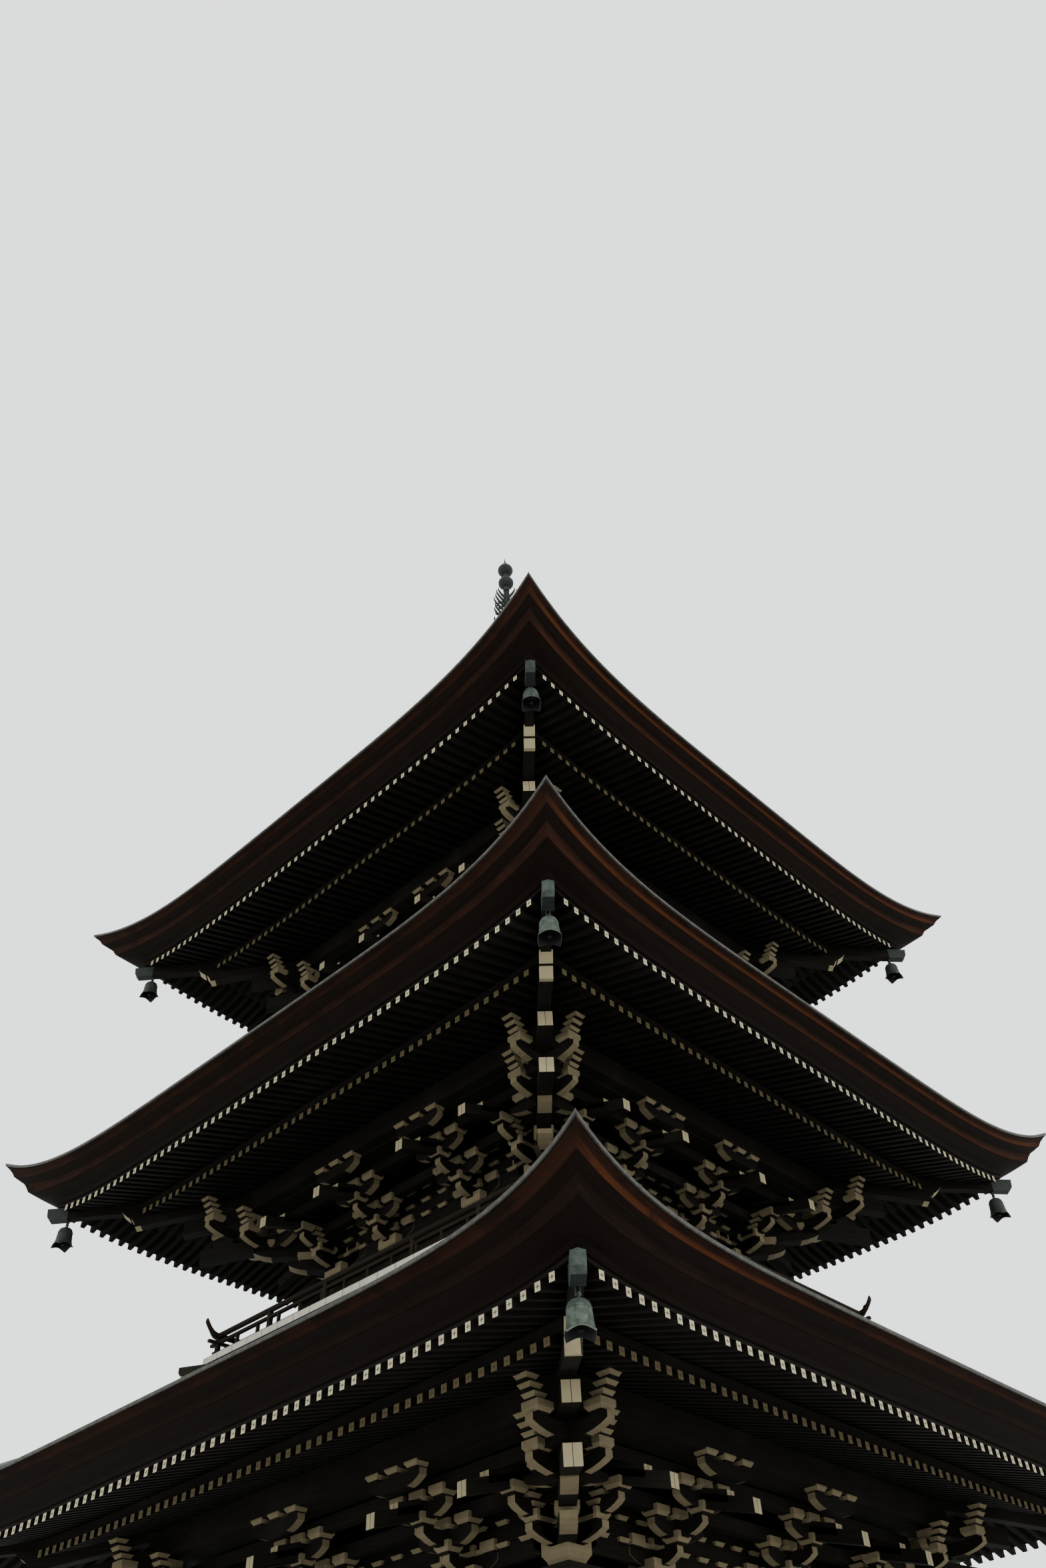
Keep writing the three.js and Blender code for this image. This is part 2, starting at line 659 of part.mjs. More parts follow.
// Three rails a side on short posts, the top rail's ends crossing at the corners and turning up
function railing(s) {
  const at = s.wall + RAIL_PROUD;
  const half = RAIL_THICK / 2;
  const top = s.floor + RAIL_TOP;
  const tip = at + RAIL_TIP;
  const bend = at + RAIL_TIP / 3;
  const topRail = plate(
    [
      [-bend, top - RAIL_THICK],
      [bend, top - RAIL_THICK],
      [tip, top + 110],
      [tip - 30, top + 140],
      [bend - 15, top],
      [-bend + 15, top],
      [-tip + 30, top + 140],
      [-tip, top + 110],
    ],
    RAIL_THICK,
  ).translate(0, -at, 0);
  const low = ring(at - half, at + half, s.floor, s.floor + RAIL_LOW);
  const reach = at + RAIL_TIP * 0.75;
  const [foot, head] = RAIL_MIDDLE.map((up) => s.floor + up);
  const middle = box(-reach, reach, -at - half, -at + half, foot, head);
  const [postFoot, postHead] = [s.floor + RAIL_LOW, top - RAIL_THICK];
  const post = (along) => box(along - half, along + half, -at - half, -at + half, postFoot, postHead);
  const posts = [-at, -s.inner, s.inner].map(post);
  return join([low, ...[topRail, middle, ...posts].flatMap(onSides)]);
}

// A bell: eye, stem and a hollow body that flares to its lip, about the pin at z = 0
function bell() {
  const corners = SIDES.concat(4, 5).map((place) => (place * Math.PI) / 3);
  const corner = (radius, angle) => new THREE.Vector2(radius * Math.cos(angle), radius * Math.sin(angle));
  const hexagon = (radius) => corners.map((angle) => corner(radius, angle));
  const eyeShape = new THREE.Shape(hexagon(EYE));
  eyeShape.holes.push(new THREE.Path(hexagon(EYE_HOLE)));
  const eye = new THREE.ExtrudeGeometry(eyeShape, { depth: EYE_THICK, bevelEnabled: false });
  eye.translate(0, 0, -EYE_THICK / 2).rotateX(Math.PI / 2);
  const body = lathe([
    [0, BELL_TOP - 26],
    [54, BELL_TOP - 30],
    [72, BELL_LIP + 85],
    [BELL_RADIUS - 9, BELL_LIP],
    [BELL_RADIUS, BELL_LIP],
    [82, BELL_LIP + 85],
    [64, BELL_TOP - 14],
    [STEM, BELL_TOP],
    [STEM, -EYE + 5],
    [0, -EYE + 5],
  ]);
  return join([solid(eye), body]);
}

// An outline of radius and height turned round the upright axis
function lathe(points) {
  const outline = points.map(([r, z]) => new THREE.Vector2(r, z));
  return solid(new THREE.LatheGeometry(outline, FACETS).rotateX(Math.PI / 2));
}

// The square dew basin that caps the top roof
function dewBasin() {
  const [low, high] = [TOP_ROOF_HEIGHT, TOP_ROOF_HEIGHT + BASIN_HIGH];
  const slab = (half, z0, z1) => solid(box(-half, half, -half, half, z0, z1));
  const rim = slab(BASIN_HALF + 60, high - 110, high);
  const foot = slab(BASIN_HALF + 30, low, low + 60);
  return join([slab(BASIN_HALF, low, high), rim, foot]);
}

// The inverted bowl and the open lotus above it
function bowlAndLotus() {
  const foot = TOP_ROOF_HEIGHT + BASIN_HIGH;
  const neck = foot + BOWL_HIGH;
  return lathe([
    [0, foot],
    [300, foot],
    [280, foot + 0.45 * BOWL_HIGH],
    [210, foot + 0.8 * BOWL_HIGH],
    [110, neck],
    [150, neck + 0.35 * LOTUS_HIGH],
    [330, neck + LOTUS_HIGH],
    [0, neck + LOTUS_HIGH],
  ]);
}

const shaftFoot = TOP_ROOF_HEIGHT + BASIN_HIGH + BOWL_HIGH + LOTUS_HIGH;
const shaftTop = JEWEL - 0.6 * BALL;
const shaftRadius = (z) => SHAFT * THREE.MathUtils.mapLinear(z, shaftFoot, shaftTop, 1, SHAFT_TAPER);

// The shaft with nine rings, each held by spokes that cross those of the next
function ringsAndShaft() {
  const shaft = lathe([
    [0, shaftFoot],
    [SHAFT, shaftFoot],
    [SHAFT * SHAFT_TAPER, shaftTop],
    [0, shaftTop],
  ]);
  const rings = [];
  for (let n = 0; n < RING_COUNT; n++) {
    const radius = THREE.MathUtils.lerp(...RING_RADII, n / (RING_COUNT - 1));
    const z = RING_FIRST + n * RING_SPACING;
    const hoop = [
      [radius - 22, z - 45],
      [radius, z - 45],
      [radius, z + 45],
      [radius - 22, z + 45],
      [radius - 22, z - 45],
    ];
    const spoke = box(-radius + 10, radius - 10, -14, 14, z - 20, z + 20);
    rings.push(lathe(hoop), solid(turned(spoke, n % 2)));
  }
  return join([shaft, ...rings]);
}

// Four upright openwork plates with frond edges, crossing on the shaft
function waterFlame() {
  const [foot, top] = FLAME;
  const high = top - foot;
  const outline = [
    [shaftRadius(foot) + GAP, foot],
    [0.2 * high, foot + 0.05 * high],
    [0.27 * high, foot + 0.25 * high],
    [0.22 * high, foot + 0.32 * high],
    [0.27 * high, foot + 0.5 * high],
    [0.19 * high, foot + 0.58 * high],
    [0.2 * high, foot + 0.78 * high],
    [shaftRadius(top) + GAP, top],
  ];
  const wings = SIDES.map((side) => solid(turned(plate(outline, 16), side)));
  const clasps = [foot, top - CLASP_HIGH].map((low) => {
    const high = low + CLASP_HIGH;
    const [lowRadius, highRadius] = [low, high].map((z) => shaftRadius(z) + GAP);
    return lathe([
      [lowRadius, low],
      [lowRadius + CLASP_THICK, low],
      [highRadius + CLASP_THICK, high],
      [highRadius, high],
      [lowRadius, low],
    ]);
  });
  return join([...wings, ...clasps]);
}

function ball(centre, tip) {
  const arc = [-60, -30, 0, 30, 60].map((deg) => {
    const angle = THREE.MathUtils.degToRad(deg);
    return [BALL * Math.cos(angle), centre + BALL * Math.sin(angle)];
  });
  return lathe([[0, centre - BALL], ...arc, ...tip]);
}

// The shaft passes through the lower ball and ends in a socket under the jewel
function shaftHole() {
  return lathe([
    [0, shaftFoot],
    [SHAFT + GAP, shaftFoot],
    [SHAFT * SHAFT_TAPER + GAP, shaftTop + GAP],
    [0, shaftTop + GAP],
  ]);
}

const lowerBall = () => ball(LOWER_BALL, [[0, LOWER_BALL + BALL]]).subtract(shaftHole());

// The jewel is drawn up to a point that carries the spike
const jewel = () =>
  ball(JEWEL, [
    [30, JEWEL + 1.35 * BALL],
    [12, JEWEL + 1.8 * BALL],
    [0, FINIAL_TOP],
  ]).subtract(shaftHole());

const pagoda = new THREE.Group();

STOREYS.forEach((s, i) => {
  const above = STOREYS[i + 1];
  s.roofHeight = above ? above.floor - ROOF_FOOT_UNDER_DECK : TOP_ROOF_HEIGHT;
  s.roofHalf = above ? above.wall + ROOF_TOP_REACH : TOP_ROOF_HALF;
  s.roofStart = above ? 0.8 : 0.62;
});

const [ground] = STOREYS;
pagoda.add(mesh("stone_platform", platform(ground), STONE));
SIDES.forEach((side) => {
  const facing = new THREE.Group();
  facing.rotation.z = (side * Math.PI) / 2;
  const door = mesh(`storey_1_door_${SIDE_NAMES[side]}`, doorLeaves(ground), WALL_TIMBER);
  door.position.y = -ground.wall;
  facing.add(mesh(`stone_steps_${SIDE_NAMES[side]}`, flight(), STONE), door);
  pagoda.add(facing);
});

STOREYS.forEach((s, i) => {
  const below = STOREYS[i - 1];
  if (below) {
    pagoda.add(mesh(`${s.name}_balcony`, balcony(s, below), DARK_TIMBER));
    pagoda.add(mesh(`${s.name}_railing`, railing(s), DARK_TIMBER));
  }
  pagoda.add(
    mesh(`${s.name}_frame`, frame(s), DARK_TIMBER),
    mesh(`${s.name}_walls`, below ? upperWalls(s) : groundWalls(s), WALL_TIMBER),
    mesh(`${s.name}_brackets`, brackets(s), PAINTED_TIMBER),
    mesh(`${s.name}_base_rafters`, baseRafters(s), RAFTER_TIMBER),
    mesh(`${s.name}_hip_rafters`, hipFrame(s), DARK_TIMBER),
    mesh(`${s.name}_flying_rafters`, flyingRafters(s), RAFTER_TIMBER),
    mesh(`${s.name}_eave_edge`, eaveEdge(s), SHINGLE),
    mesh(`${s.name}_roof`, roof(s), COPPER),
  );
  SIDES.forEach((side) => {
    const corner = new THREE.Group();
    corner.rotation.z = ((side - 0.5) * Math.PI) / 2;
    const hung = mesh(`${s.name}_bell_${side + 1}`, bell(), BRONZE);
    hung.position.x = (s.flyingReach - BELL_INSET) * Math.SQRT2;
    hung.position.z = s.flying - UPPER_HIP_DROP - PIN_DROP;
    corner.add(hung);
    pagoda.add(corner);
  });
});

pagoda.add(
  mesh("dew_basin", dewBasin(), BRONZE),
  mesh("finial_bowl_and_lotus", bowlAndLotus(), BRONZE),
  mesh("finial_rings", ringsAndShaft(), BRONZE),
  mesh("water_flame", waterFlame(), BRONZE),
  mesh("finial_lower_ball", lowerBall(), BRONZE),
  mesh("finial_jewel", jewel(), BRONZE),
);

export default pagoda;
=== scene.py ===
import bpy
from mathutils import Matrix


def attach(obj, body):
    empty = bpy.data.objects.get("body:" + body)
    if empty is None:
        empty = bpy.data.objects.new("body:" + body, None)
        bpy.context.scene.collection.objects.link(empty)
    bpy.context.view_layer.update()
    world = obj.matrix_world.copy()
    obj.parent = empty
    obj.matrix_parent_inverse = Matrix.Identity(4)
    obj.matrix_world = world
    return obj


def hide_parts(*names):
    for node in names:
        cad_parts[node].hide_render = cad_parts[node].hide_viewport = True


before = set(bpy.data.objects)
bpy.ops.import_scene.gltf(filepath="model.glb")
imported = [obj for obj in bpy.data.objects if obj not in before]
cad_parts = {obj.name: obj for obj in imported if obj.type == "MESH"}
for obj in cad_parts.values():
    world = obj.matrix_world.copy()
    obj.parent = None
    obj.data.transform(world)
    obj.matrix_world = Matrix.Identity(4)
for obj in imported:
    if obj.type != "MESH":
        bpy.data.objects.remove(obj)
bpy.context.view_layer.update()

import math

import bpy
import numpy as np
from mathutils import Matrix, Vector

# Stone platform: a foot course, posts with panels between them, coping slabs and square paving,
# all of dressed granite laid dry round a filling. The round stones on top carry the columns.
PLATFORM = 3.0
PLATFORM_TOP = 0.9
dice = np.random.default_rng(7)
PAINT = 10  # added to v on painted faces
SQUARE = np.array([(-1, -1), (1, -1), (1, 1), (-1, 1)])
ALONG, OUT, UP = (1, 0, 0), (0, -1, 0), (0, 0, 1)  # axes of the front side


def fan(count, size, starts):
    """Face index rows for `count` copies: each row of starts plus the copy's first vertex."""
    return (np.asarray(starts)[None] + (np.arange(count) * size)[:, None, None]).reshape(-1, len(starts[0]))


def prism(outline, start, end, a, b, painted=(), ends=(False, False), across=False):
    """Copies of one outline, each carried from its start to its end point. A vertex is the point plus the
    outline's first number times axis a plus its second times axis b. UV runs along and round the copy,
    and PAINT is added to v on painted faces; ends says which of the copy's two ends are painted, and
    across turns the grain to run round instead of along."""
    outline = np.asarray(outline, float)
    start, end = np.atleast_2d(start).astype(float), np.atleast_2d(end).astype(float)
    count, size = len(start), len(outline)
    a = np.broadcast_to(np.asarray(a, float), start.shape)
    b = np.broadcast_to(np.asarray(b, float), start.shape)
    around = np.roll(outline, -1, 0)
    if np.sum(outline[:, 0] * around[:, 1] - outline[:, 1] * around[:, 0]) < 0:
        outline = outline[::-1]
        painted = [size - 2 - k if k < size - 1 else size - 1 for k in painted]
        around = np.roll(outline, -1, 0)
    offset = outline[None, :, :1] * a[:, None] + outline[None, :, 1:] * b[:, None]
    points = np.stack([start[:, None] + offset, end[:, None] + offset], 1)
    near, far = np.arange(size), np.arange(size) + size
    nearer, farther = np.roll(near, -1), np.roll(far, -1)
    sides = fan(count, 2 * size, np.stack([near, nearer, farther, far], 1))
    caps = fan(count, 2 * size, [near[::-1], far])
    length = np.linalg.norm(end - start, axis=1)
    step = np.linalg.norm(around - outline, axis=1)
    low = np.cumsum(step) - step
    uv = np.zeros((count, size, 4, 2))
    uv[:, :, 2:, 0] = length[:, None, None]
    uv[:, :, [0, 3], 1] = low[None, :, None]
    uv[:, :, [1, 2], 1] = (low + step)[None, :, None]
    flat = outline - outline.mean(0)
    if across:
        uv = uv[..., ::-1].copy()
    uv[:, list(painted), :, 1] += PAINT
    cap_uv = np.stack([flat[::-1] + [0, PAINT * ends[0]], flat + [0, PAINT * ends[1]]])
    cap_uv = np.broadcast_to(cap_uv[None], (count, 2, size, 2)).reshape(-1, size, 2)
    if np.dot(np.cross(a[0], b[0]), (end - start)[0]) < 0:
        sides, caps = sides[:, ::-1], caps[:, ::-1]
        uv, cap_uv = uv[:, :, ::-1], cap_uv[:, ::-1]
    tone = np.repeat(dice.random(count), 2 * size)
    return points.reshape(-1, 3), [(sides, uv.reshape(-1, 4, 2)), (caps, cap_uv)], tone


def bars(x, y, z):
    """Upright boxes between pairs of x, y and z values; each may be one pair or a row of pairs."""
    x, y, z = np.broadcast_arrays(*(np.atleast_2d(pair).astype(float) for pair in (x, y, z)))
    start = np.stack([x[:, 0], y.mean(1), z.mean(1)], 1)
    end = np.stack([x[:, 1], y.mean(1), z.mean(1)], 1)
    return prism(SQUARE, start, end, np.abs(np.diff(y)) / 2 * [0, 1, 0], np.abs(np.diff(z)) / 2 * [0, 0, 1])


def gapped(edges, gap):
    """The pairs of neighbours in a row of edges, drawn in by a gap on both sides."""
    return np.stack([edges[:-1] + gap, edges[1:] - gap], 1)


def about(places, half):
    """A pair on both sides of each place."""
    return np.stack([places - half, places + half], 1)


def turned(part, quarters):
    """A copy of a part turned about the building's axis by quarters of a circle."""
    points, faces, tone = part
    angle = quarters * math.pi / 2
    c, s = math.cos(angle), math.sin(angle)
    return points @ np.array([[c, s, 0], [-s, c, 0], [0, 0, 1]]), faces, tone


def around(*parts, corner=False):
    """Parts drawn for the front side on all four sides, or parts drawn along -Y on all four corners."""
    return [turned(part, side + (0.5 if corner else 0)) for part in parts for side in range(4)]


def lathe(outline, centres=(0, 0, 0), sides=32, phase=0.0, painted=()):
    """Copies of an outline of radius and height turned round the upright line through each centre:
    a vertex is the centre plus radius times (cos, sin) of the step's angle, plus the height."""
    outline = np.asarray(outline, float)
    centres = np.atleast_2d(centres).astype(float)
    rows = len(outline)
    angle = phase + np.arange(sides) * 2 * math.pi / sides
    circle = np.stack([np.cos(angle), np.sin(angle), 0 * angle], 1)
    shape = outline[:, None, :1] * circle[None] + outline[:, None, 1:] * np.array([0, 0, 1.0])
    points = centres[:, None, None] + shape[None]
    low = np.arange((rows - 1) * sides).reshape(rows - 1, sides)
    quads = np.stack([low, np.roll(low, -1, 1), np.roll(low, -1, 1) + sides, low + sides], -1).reshape(-1, 4)
    size = rows * sides
    faces = fan(len(centres), size, quads)
    run = np.concatenate([[0], np.cumsum(np.linalg.norm(np.diff(outline, axis=0), axis=1))])
    uv = np.zeros((rows - 1, sides, 4, 2))
    uv[..., 0] = (np.arange(sides)[None, :, None] + np.array([0, 1, 1, 0])) / sides
    uv[:, :, :2, 1], uv[:, :, 2:, 1] = run[:-1, None, None], run[1:, None, None]
    uv[list(painted), ..., 1] += PAINT
    uv = np.broadcast_to(uv[None], (len(centres), *uv.shape)).reshape(-1, 4, 2)
    caps = fan(len(centres), size, [np.arange(sides)[::-1], np.arange(sides) + size - sides])
    cap_uv = np.broadcast_to(circle[None, :, :2] * 0.1, (len(caps), sides, 2))
    tone = np.repeat(dice.random(len(centres)), size)
    return points.reshape(-1, 3), [(faces, uv), (caps, cap_uv)], tone


def piece(name, parts, finishes, stands_for=(), body="pagoda", smooth=False):
    """One mesh from parts, or from (part, finish number) pairs, that rides on a body of the frame."""
    pairs = [entry if isinstance(entry[1], int) else (entry, 0) for entry in parts]
    first, corners, uvs, sizes, numbers, points, tones = 0, [], [], [], [], [], []
    for (vertices, groups, tone), number in pairs:
        for faces, uv in groups:
            corners.append((faces + first).ravel())
            uvs.append(np.asarray(uv).reshape(-1, 2))
            sizes.append(np.full(len(faces), faces.shape[1]))
            numbers.append(np.full(len(faces), number))
        points.append(vertices)
        tones.append(tone)
        first += len(vertices)
    points, corners, sizes = np.concatenate(points), np.concatenate(corners), np.concatenate(sizes)
    mesh = bpy.data.meshes.new(name)
    mesh.vertices.add(len(points))
    mesh.vertices.foreach_set("co", points.ravel().astype(np.float32))
    mesh.loops.add(len(corners))
    mesh.loops.foreach_set("vertex_index", corners.astype(np.int32))
    mesh.polygons.add(len(sizes))
    mesh.polygons.foreach_set("loop_start", (np.cumsum(sizes) - sizes).astype(np.int32))
    mesh.polygons.foreach_set("material_index", np.concatenate(numbers).astype(np.int32))
    mesh.uv_layers.new(name="UVMap").data.foreach_set("uv", np.concatenate(uvs).ravel().astype(np.float32))
    attribute = mesh.attributes.new("tone", "FLOAT", "POINT")
    attribute.data.foreach_set("value", np.concatenate(tones).astype(np.float32))
    mesh.polygons.foreach_set("use_smooth", np.full(len(sizes), smooth))
    mesh.update(calc_edges=True)
    if smooth:
        mesh.set_sharp_from_angle(angle=math.radians(35))
    for finish in finishes:
        mesh.materials.append(finish)
    made = bpy.data.objects.new(name, mesh)
    bpy.context.scene.collection.objects.link(made)
    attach(made, body)
    if stands_for:
        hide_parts(*stands_for)


class Wire:
    """A socket of a finish; arithmetic on it adds Math nodes."""

    def __init__(self, finish, socket):
        self.finish, self.socket = finish, socket

    def maths(self, operation, *others):
        inputs = dict(enumerate((self, *others)))
        return self.finish.node("Math", {"operation": operation}, inputs)

    def __add__(self, other):
        return self.maths("ADD", other)

    def __sub__(self, other):
        return self.maths("SUBTRACT", other)

    def __mul__(self, other):
        return self.maths("MULTIPLY", other)

    def __rsub__(self, other):
        return self * -1 + other

    def __gt__(self, other):
        return self.maths("GREATER_THAN", other)

    __radd__, __rmul__ = __add__, __mul__


class Finish:
    """A material of a Principled shader, with its nodes made one by one."""

    def __init__(self, name, metallic=0.0, specular=0.3):
        self.material = bpy.data.materials.new(name)
        self.material.use_nodes = True
        self.tree = self.material.node_tree
        self.shader = self.tree.nodes["Principled BSDF"]
        self.shader.inputs["Metallic"].default_value = metallic
        self.shader.inputs["Specular IOR Level"].default_value = specular

    def node(self, kind, settings=None, inputs=None, output=0):
        made = self.tree.nodes.new("ShaderNode" + kind)
        for key, value in (settings or {}).items():
            setattr(made, key, value)
        for key, value in (inputs or {}).items():
            if isinstance(value, Wire):
                self.tree.links.new(value.socket, made.inputs[key])
            else:
                made.inputs[key].default_value = value
        return Wire(self, made.outputs[output])

    def noise(self, vector, scale, detail=4.0, rough=0.55):
        inputs = {"Vector": vector, "Scale": scale, "Detail": detail, "Roughness": rough}
        return self.node("TexNoise", {}, inputs)

    def blend(self, factor, first, second):
        """The first colour where the factor is 0, the second where it is 1."""
        inputs = {0: factor, 6: self.colour(first), 7: self.colour(second)}
        return self.node("Mix", {"data_type": "RGBA", "clamp_factor": True}, inputs, 2)

    def colour(self, value):
        return value if isinstance(value, Wire) else (*value, 1.0)

    def ramp(self, value, low, high):
        """0 below low, 1 above high and a smooth step between them."""
        settings = {"interpolation_type": "SMOOTHSTEP"}
        return self.node("MapRange", settings, {"Value": value, "From Min": low, "From Max": high})

    def point(self, x, y, z=0.0):
        return self.node("CombineXYZ", {}, {0: x, 1: y, 2: z})

    def split(self, vector):
        """The three numbers of a vector."""
        node = self.node("SeparateXYZ", {}, {0: vector}).socket.node
        return [Wire(self, output) for output in node.outputs]

    def uv(self):
        """The two numbers of the piece's own UV map."""
        return self.split(self.node("UVMap", {"uv_map": "UVMap"}))[:2]

    def place(self):
        """The place on the object."""
        return self.node("TexCoord", {}, {}, 3)

    def streaks(self, across, up):
        """Noise drawn out upwards, as rain leaves it, with so many marks a metre across and up."""
        mapping = {"Vector": self.place(), "Scale": (across, across, up)}
        return self.noise(self.node("Mapping", {}, mapping), 1.0)

    def tone(self):
        return self.node("Attribute", {"attribute_name": "tone"}, {}, 2)

    def done(self, colour, rough, height=None, depth=0.002):
        """Wires the colour, the roughness and a bump of a real depth in metres to the shader."""
        links, inputs = self.tree.links, self.shader.inputs
        links.new(colour.socket, inputs["Base Color"])
        if isinstance(rough, Wire):
            links.new(rough.socket, inputs["Roughness"])
        else:
            inputs["Roughness"].default_value = rough
        if height is not None:
            bump = self.node("Bump", {}, {"Height": height, "Distance": depth, "Strength": 0.8})
            links.new(bump.socket, inputs["Normal"])
        return self.material


def granite(name, low, high):
    """Grey granite: two sizes of speckle, a tone for each stone, and damp stains."""
    finish = Finish(name)
    place = finish.place()
    speckle = finish.noise(place, 260, 2.0, 0.7)
    cloud = finish.noise(place, 1.7, 5.0)
    base = finish.blend(finish.ramp(speckle, 0.35, 0.68), low, high)
    toned = finish.blend(finish.tone() * 0.35, base, (0.105, 0.10, 0.086))
    stained = finish.blend(finish.ramp(cloud, 0.52, 0.75) * 0.6, toned, (0.046, 0.048, 0.034))
    return finish.done(stained, 0.88, speckle + finish.noise(place, 24, 5.0) * 2, 0.004)


stone = granite("dressed_granite", (0.075, 0.072, 0.065), (0.19, 0.185, 0.172))


def courses(x0, x1, length, y, z, joint=0.004):
    """A row of stones of about one length between x0 and x1, a joint's width apart."""
    edges = np.linspace(x0, x1, max(1, round((x1 - x0) / length)) + 1)
    return bars(gapped(edges, joint / 2), y, z)


half = PLATFORM
posts = np.linspace(-half + 0.14, half - 0.14, 6)
slabs = gapped(np.linspace(-half + 0.32, half - 0.32, 10), 0.003)
slab_x, slab_y = np.tile(slabs, (len(slabs), 1)), np.repeat(slabs, len(slabs), 0)
platform = [
    bars((-half + 0.1, half - 0.1), (-half + 0.1, half - 0.1), (0.0, PLATFORM_TOP - 0.03)),
    bars(slab_x, slab_y, (PLATFORM_TOP - 0.06, PLATFORM_TOP - 0.0005)),
    *around(
        courses(-half, half - 0.22, 0.9, (-half, -half + 0.22), (0, 0.14)),
        courses(-half, half - 0.32, 1.0, (-half, -half + 0.318), (PLATFORM_TOP - 0.14, PLATFORM_TOP)),
        bars(about(posts, 0.12), (-half + 0.055, -half + 0.2), (0.14, 0.76)),
        bars(gapped(posts, 0.122), (-half + 0.075, -half + 0.2), (0.14, 0.76)),
    ),
]
STOREYS = [
    dict(name="storey_1", wall=14, inner=6, flying=4.893, rise=0.103, at=30.5, power=7.4, column=0.15),
    dict(name="storey_2", wall=12, inner=5, flying=8.422, rise=0.128, at=28.5, power=5.8, column=0.135),
    dict(name="storey_3", wall=10, inner=4, flying=11.987, rise=0.170, at=26.5, power=4.0, column=0.125),
]
PITCH = 0.135  # from rafter to rafter
ARM_DROP, PLATE_DROP = 0.693, 0.883  # lowest arms and column plate below the flying rafters' tips
FLOOR_RISE = 1.907  # an upper floor above the tips of the storey below
for number, s in enumerate(STOREYS):
    s["wall"] *= PITCH
    s["inner"] *= PITCH
    s["at"] *= PITCH
    s["arm"] = s["flying"] - ARM_DROP
    s["plate"] = s["flying"] - PLATE_DROP
    s["floor"] = STOREYS[number - 1]["flying"] + FLOOR_RISE if number else PLATFORM_TOP


def spots(x, d, z):
    """Places at x and a distance d out to the front; each may be a number or a row of them."""
    return np.stack(np.broadcast_arrays(np.atleast_1d(x), -d, z), 1)


def seats(s):
    """The front side's three column places; the fourth is the next side's first."""
    return spots((-s["wall"], -s["inner"], s["inner"]), s["wall"], 0.0)


pillow = [(0.25, -0.02), (0.25, 0.0), (0.24, 0.03), (0.205, 0.056), (0.19, 0.0598)]
platform += around(lathe(pillow, seats(STOREYS[0]) + [0, 0, PLATFORM_TOP], 28))
piece("platform_of_stones", platform, [stone], ["stone_platform"])

# Four flights of stone steps, one against each side of the platform. Each step is two long blocks of
# the same granite, laid on the block below.
SIDES = ("front", "right", "back", "left")
STEPS, TREAD, RISER, FLIGHT = 5, 0.29, 0.15, 0.8
treads = []
for step in range(STEPS):
    out = PLATFORM + (STEPS - step) * TREAD
    levels = (step * RISER, (step + 1) * RISER - 0.0004)
    treads.append(courses(-FLIGHT, FLIGHT, FLIGHT, (-out, -PLATFORM - 0.001), levels))
for side, facing in enumerate(SIDES):
    steps = [turned(tread, side) for tread in treads]
    piece(f"steps_{facing}", steps, [stone], [f"stone_steps_{facing}"])

# Round timber columns, twelve a storey, drawn in a little at their heads, with the flat plate that
# lies on all of them. Old cypress, gone dark brown.


def darker(colour, share):
    return tuple(share * value for value in colour)


def timber(name, low, high, paint=None, worn=(0.045, 0.037, 0.025), line=False, wear=0.5, cross=0.0):
    """Weathered timber with grain along u: fine noise stretched along the fibre, a tone for each piece
    and grey stains. Painted faces carry thin paint that is worn through in places; with a line, a dark
    joint runs down the middle of a painted end, and a cross is nailed to its middle."""
    finish = Finish(name, specular=0.07)
    u, v = finish.uv()
    tone = finish.tone()
    fibre = finish.noise(finish.point(u * 2.5, v * 70, tone * 40), 1.0, 5.0, 0.6)
    stain = finish.noise(finish.place(), 1.3, 6.0, 0.6)
    wood = finish.blend(finish.ramp(fibre, 0.3, 0.75), low, high)
    wood = finish.blend(tone * 0.45, wood, darker(low, 0.55))
    grey = tuple(0.7 * value + 0.007 for value in high)
    wood = finish.blend(finish.ramp(stain, 0.5, 0.72) * 0.6, wood, grey)
    height = fibre
    if paint:
        patch = finish.noise(finish.place(), 38, 5.0, 0.7)
        speck = finish.noise(finish.place(), 9, 3.0, 0.6)
        covered = finish.blend(finish.ramp(speck, 0.35, 0.7) * 0.5, paint, darker(paint, 0.72))
        covered = finish.blend(tone * 0.3, covered, darker(paint, 0.75))
        covered = finish.blend(finish.ramp(patch, 0.5 + wear * 0.2, 0.78) * 0.8, covered, worn)
        mask = v > PAINT / 2
        if cross:
            x, y = u.maths("ABSOLUTE"), (v - PAINT).maths("ABSOLUTE")
            narrow = 1 - finish.ramp(x.maths("MINIMUM", y), 0.0025, 0.005)
            short = 1 - finish.ramp(x.maths("MAXIMUM", y), 0.015, 0.019)
            covered = finish.blend(narrow * short * cross, covered, (0.022, 0.018, 0.013))
        if line:
            joint = finish.ramp(u.maths("ABSOLUTE"), 0.0015, 0.004)
            covered = finish.blend(joint, (0.030, 0.025, 0.018), covered)
        wood = finish.blend(mask, wood, covered)
        height = fibre + mask * patch * 0.5
    return finish.done(wood, 0.72 + fibre * 0.2, height, 0.003)


dark = timber("dark_timber", (0.0075, 0.0065, 0.0048), (0.017, 0.0143, 0.0103))


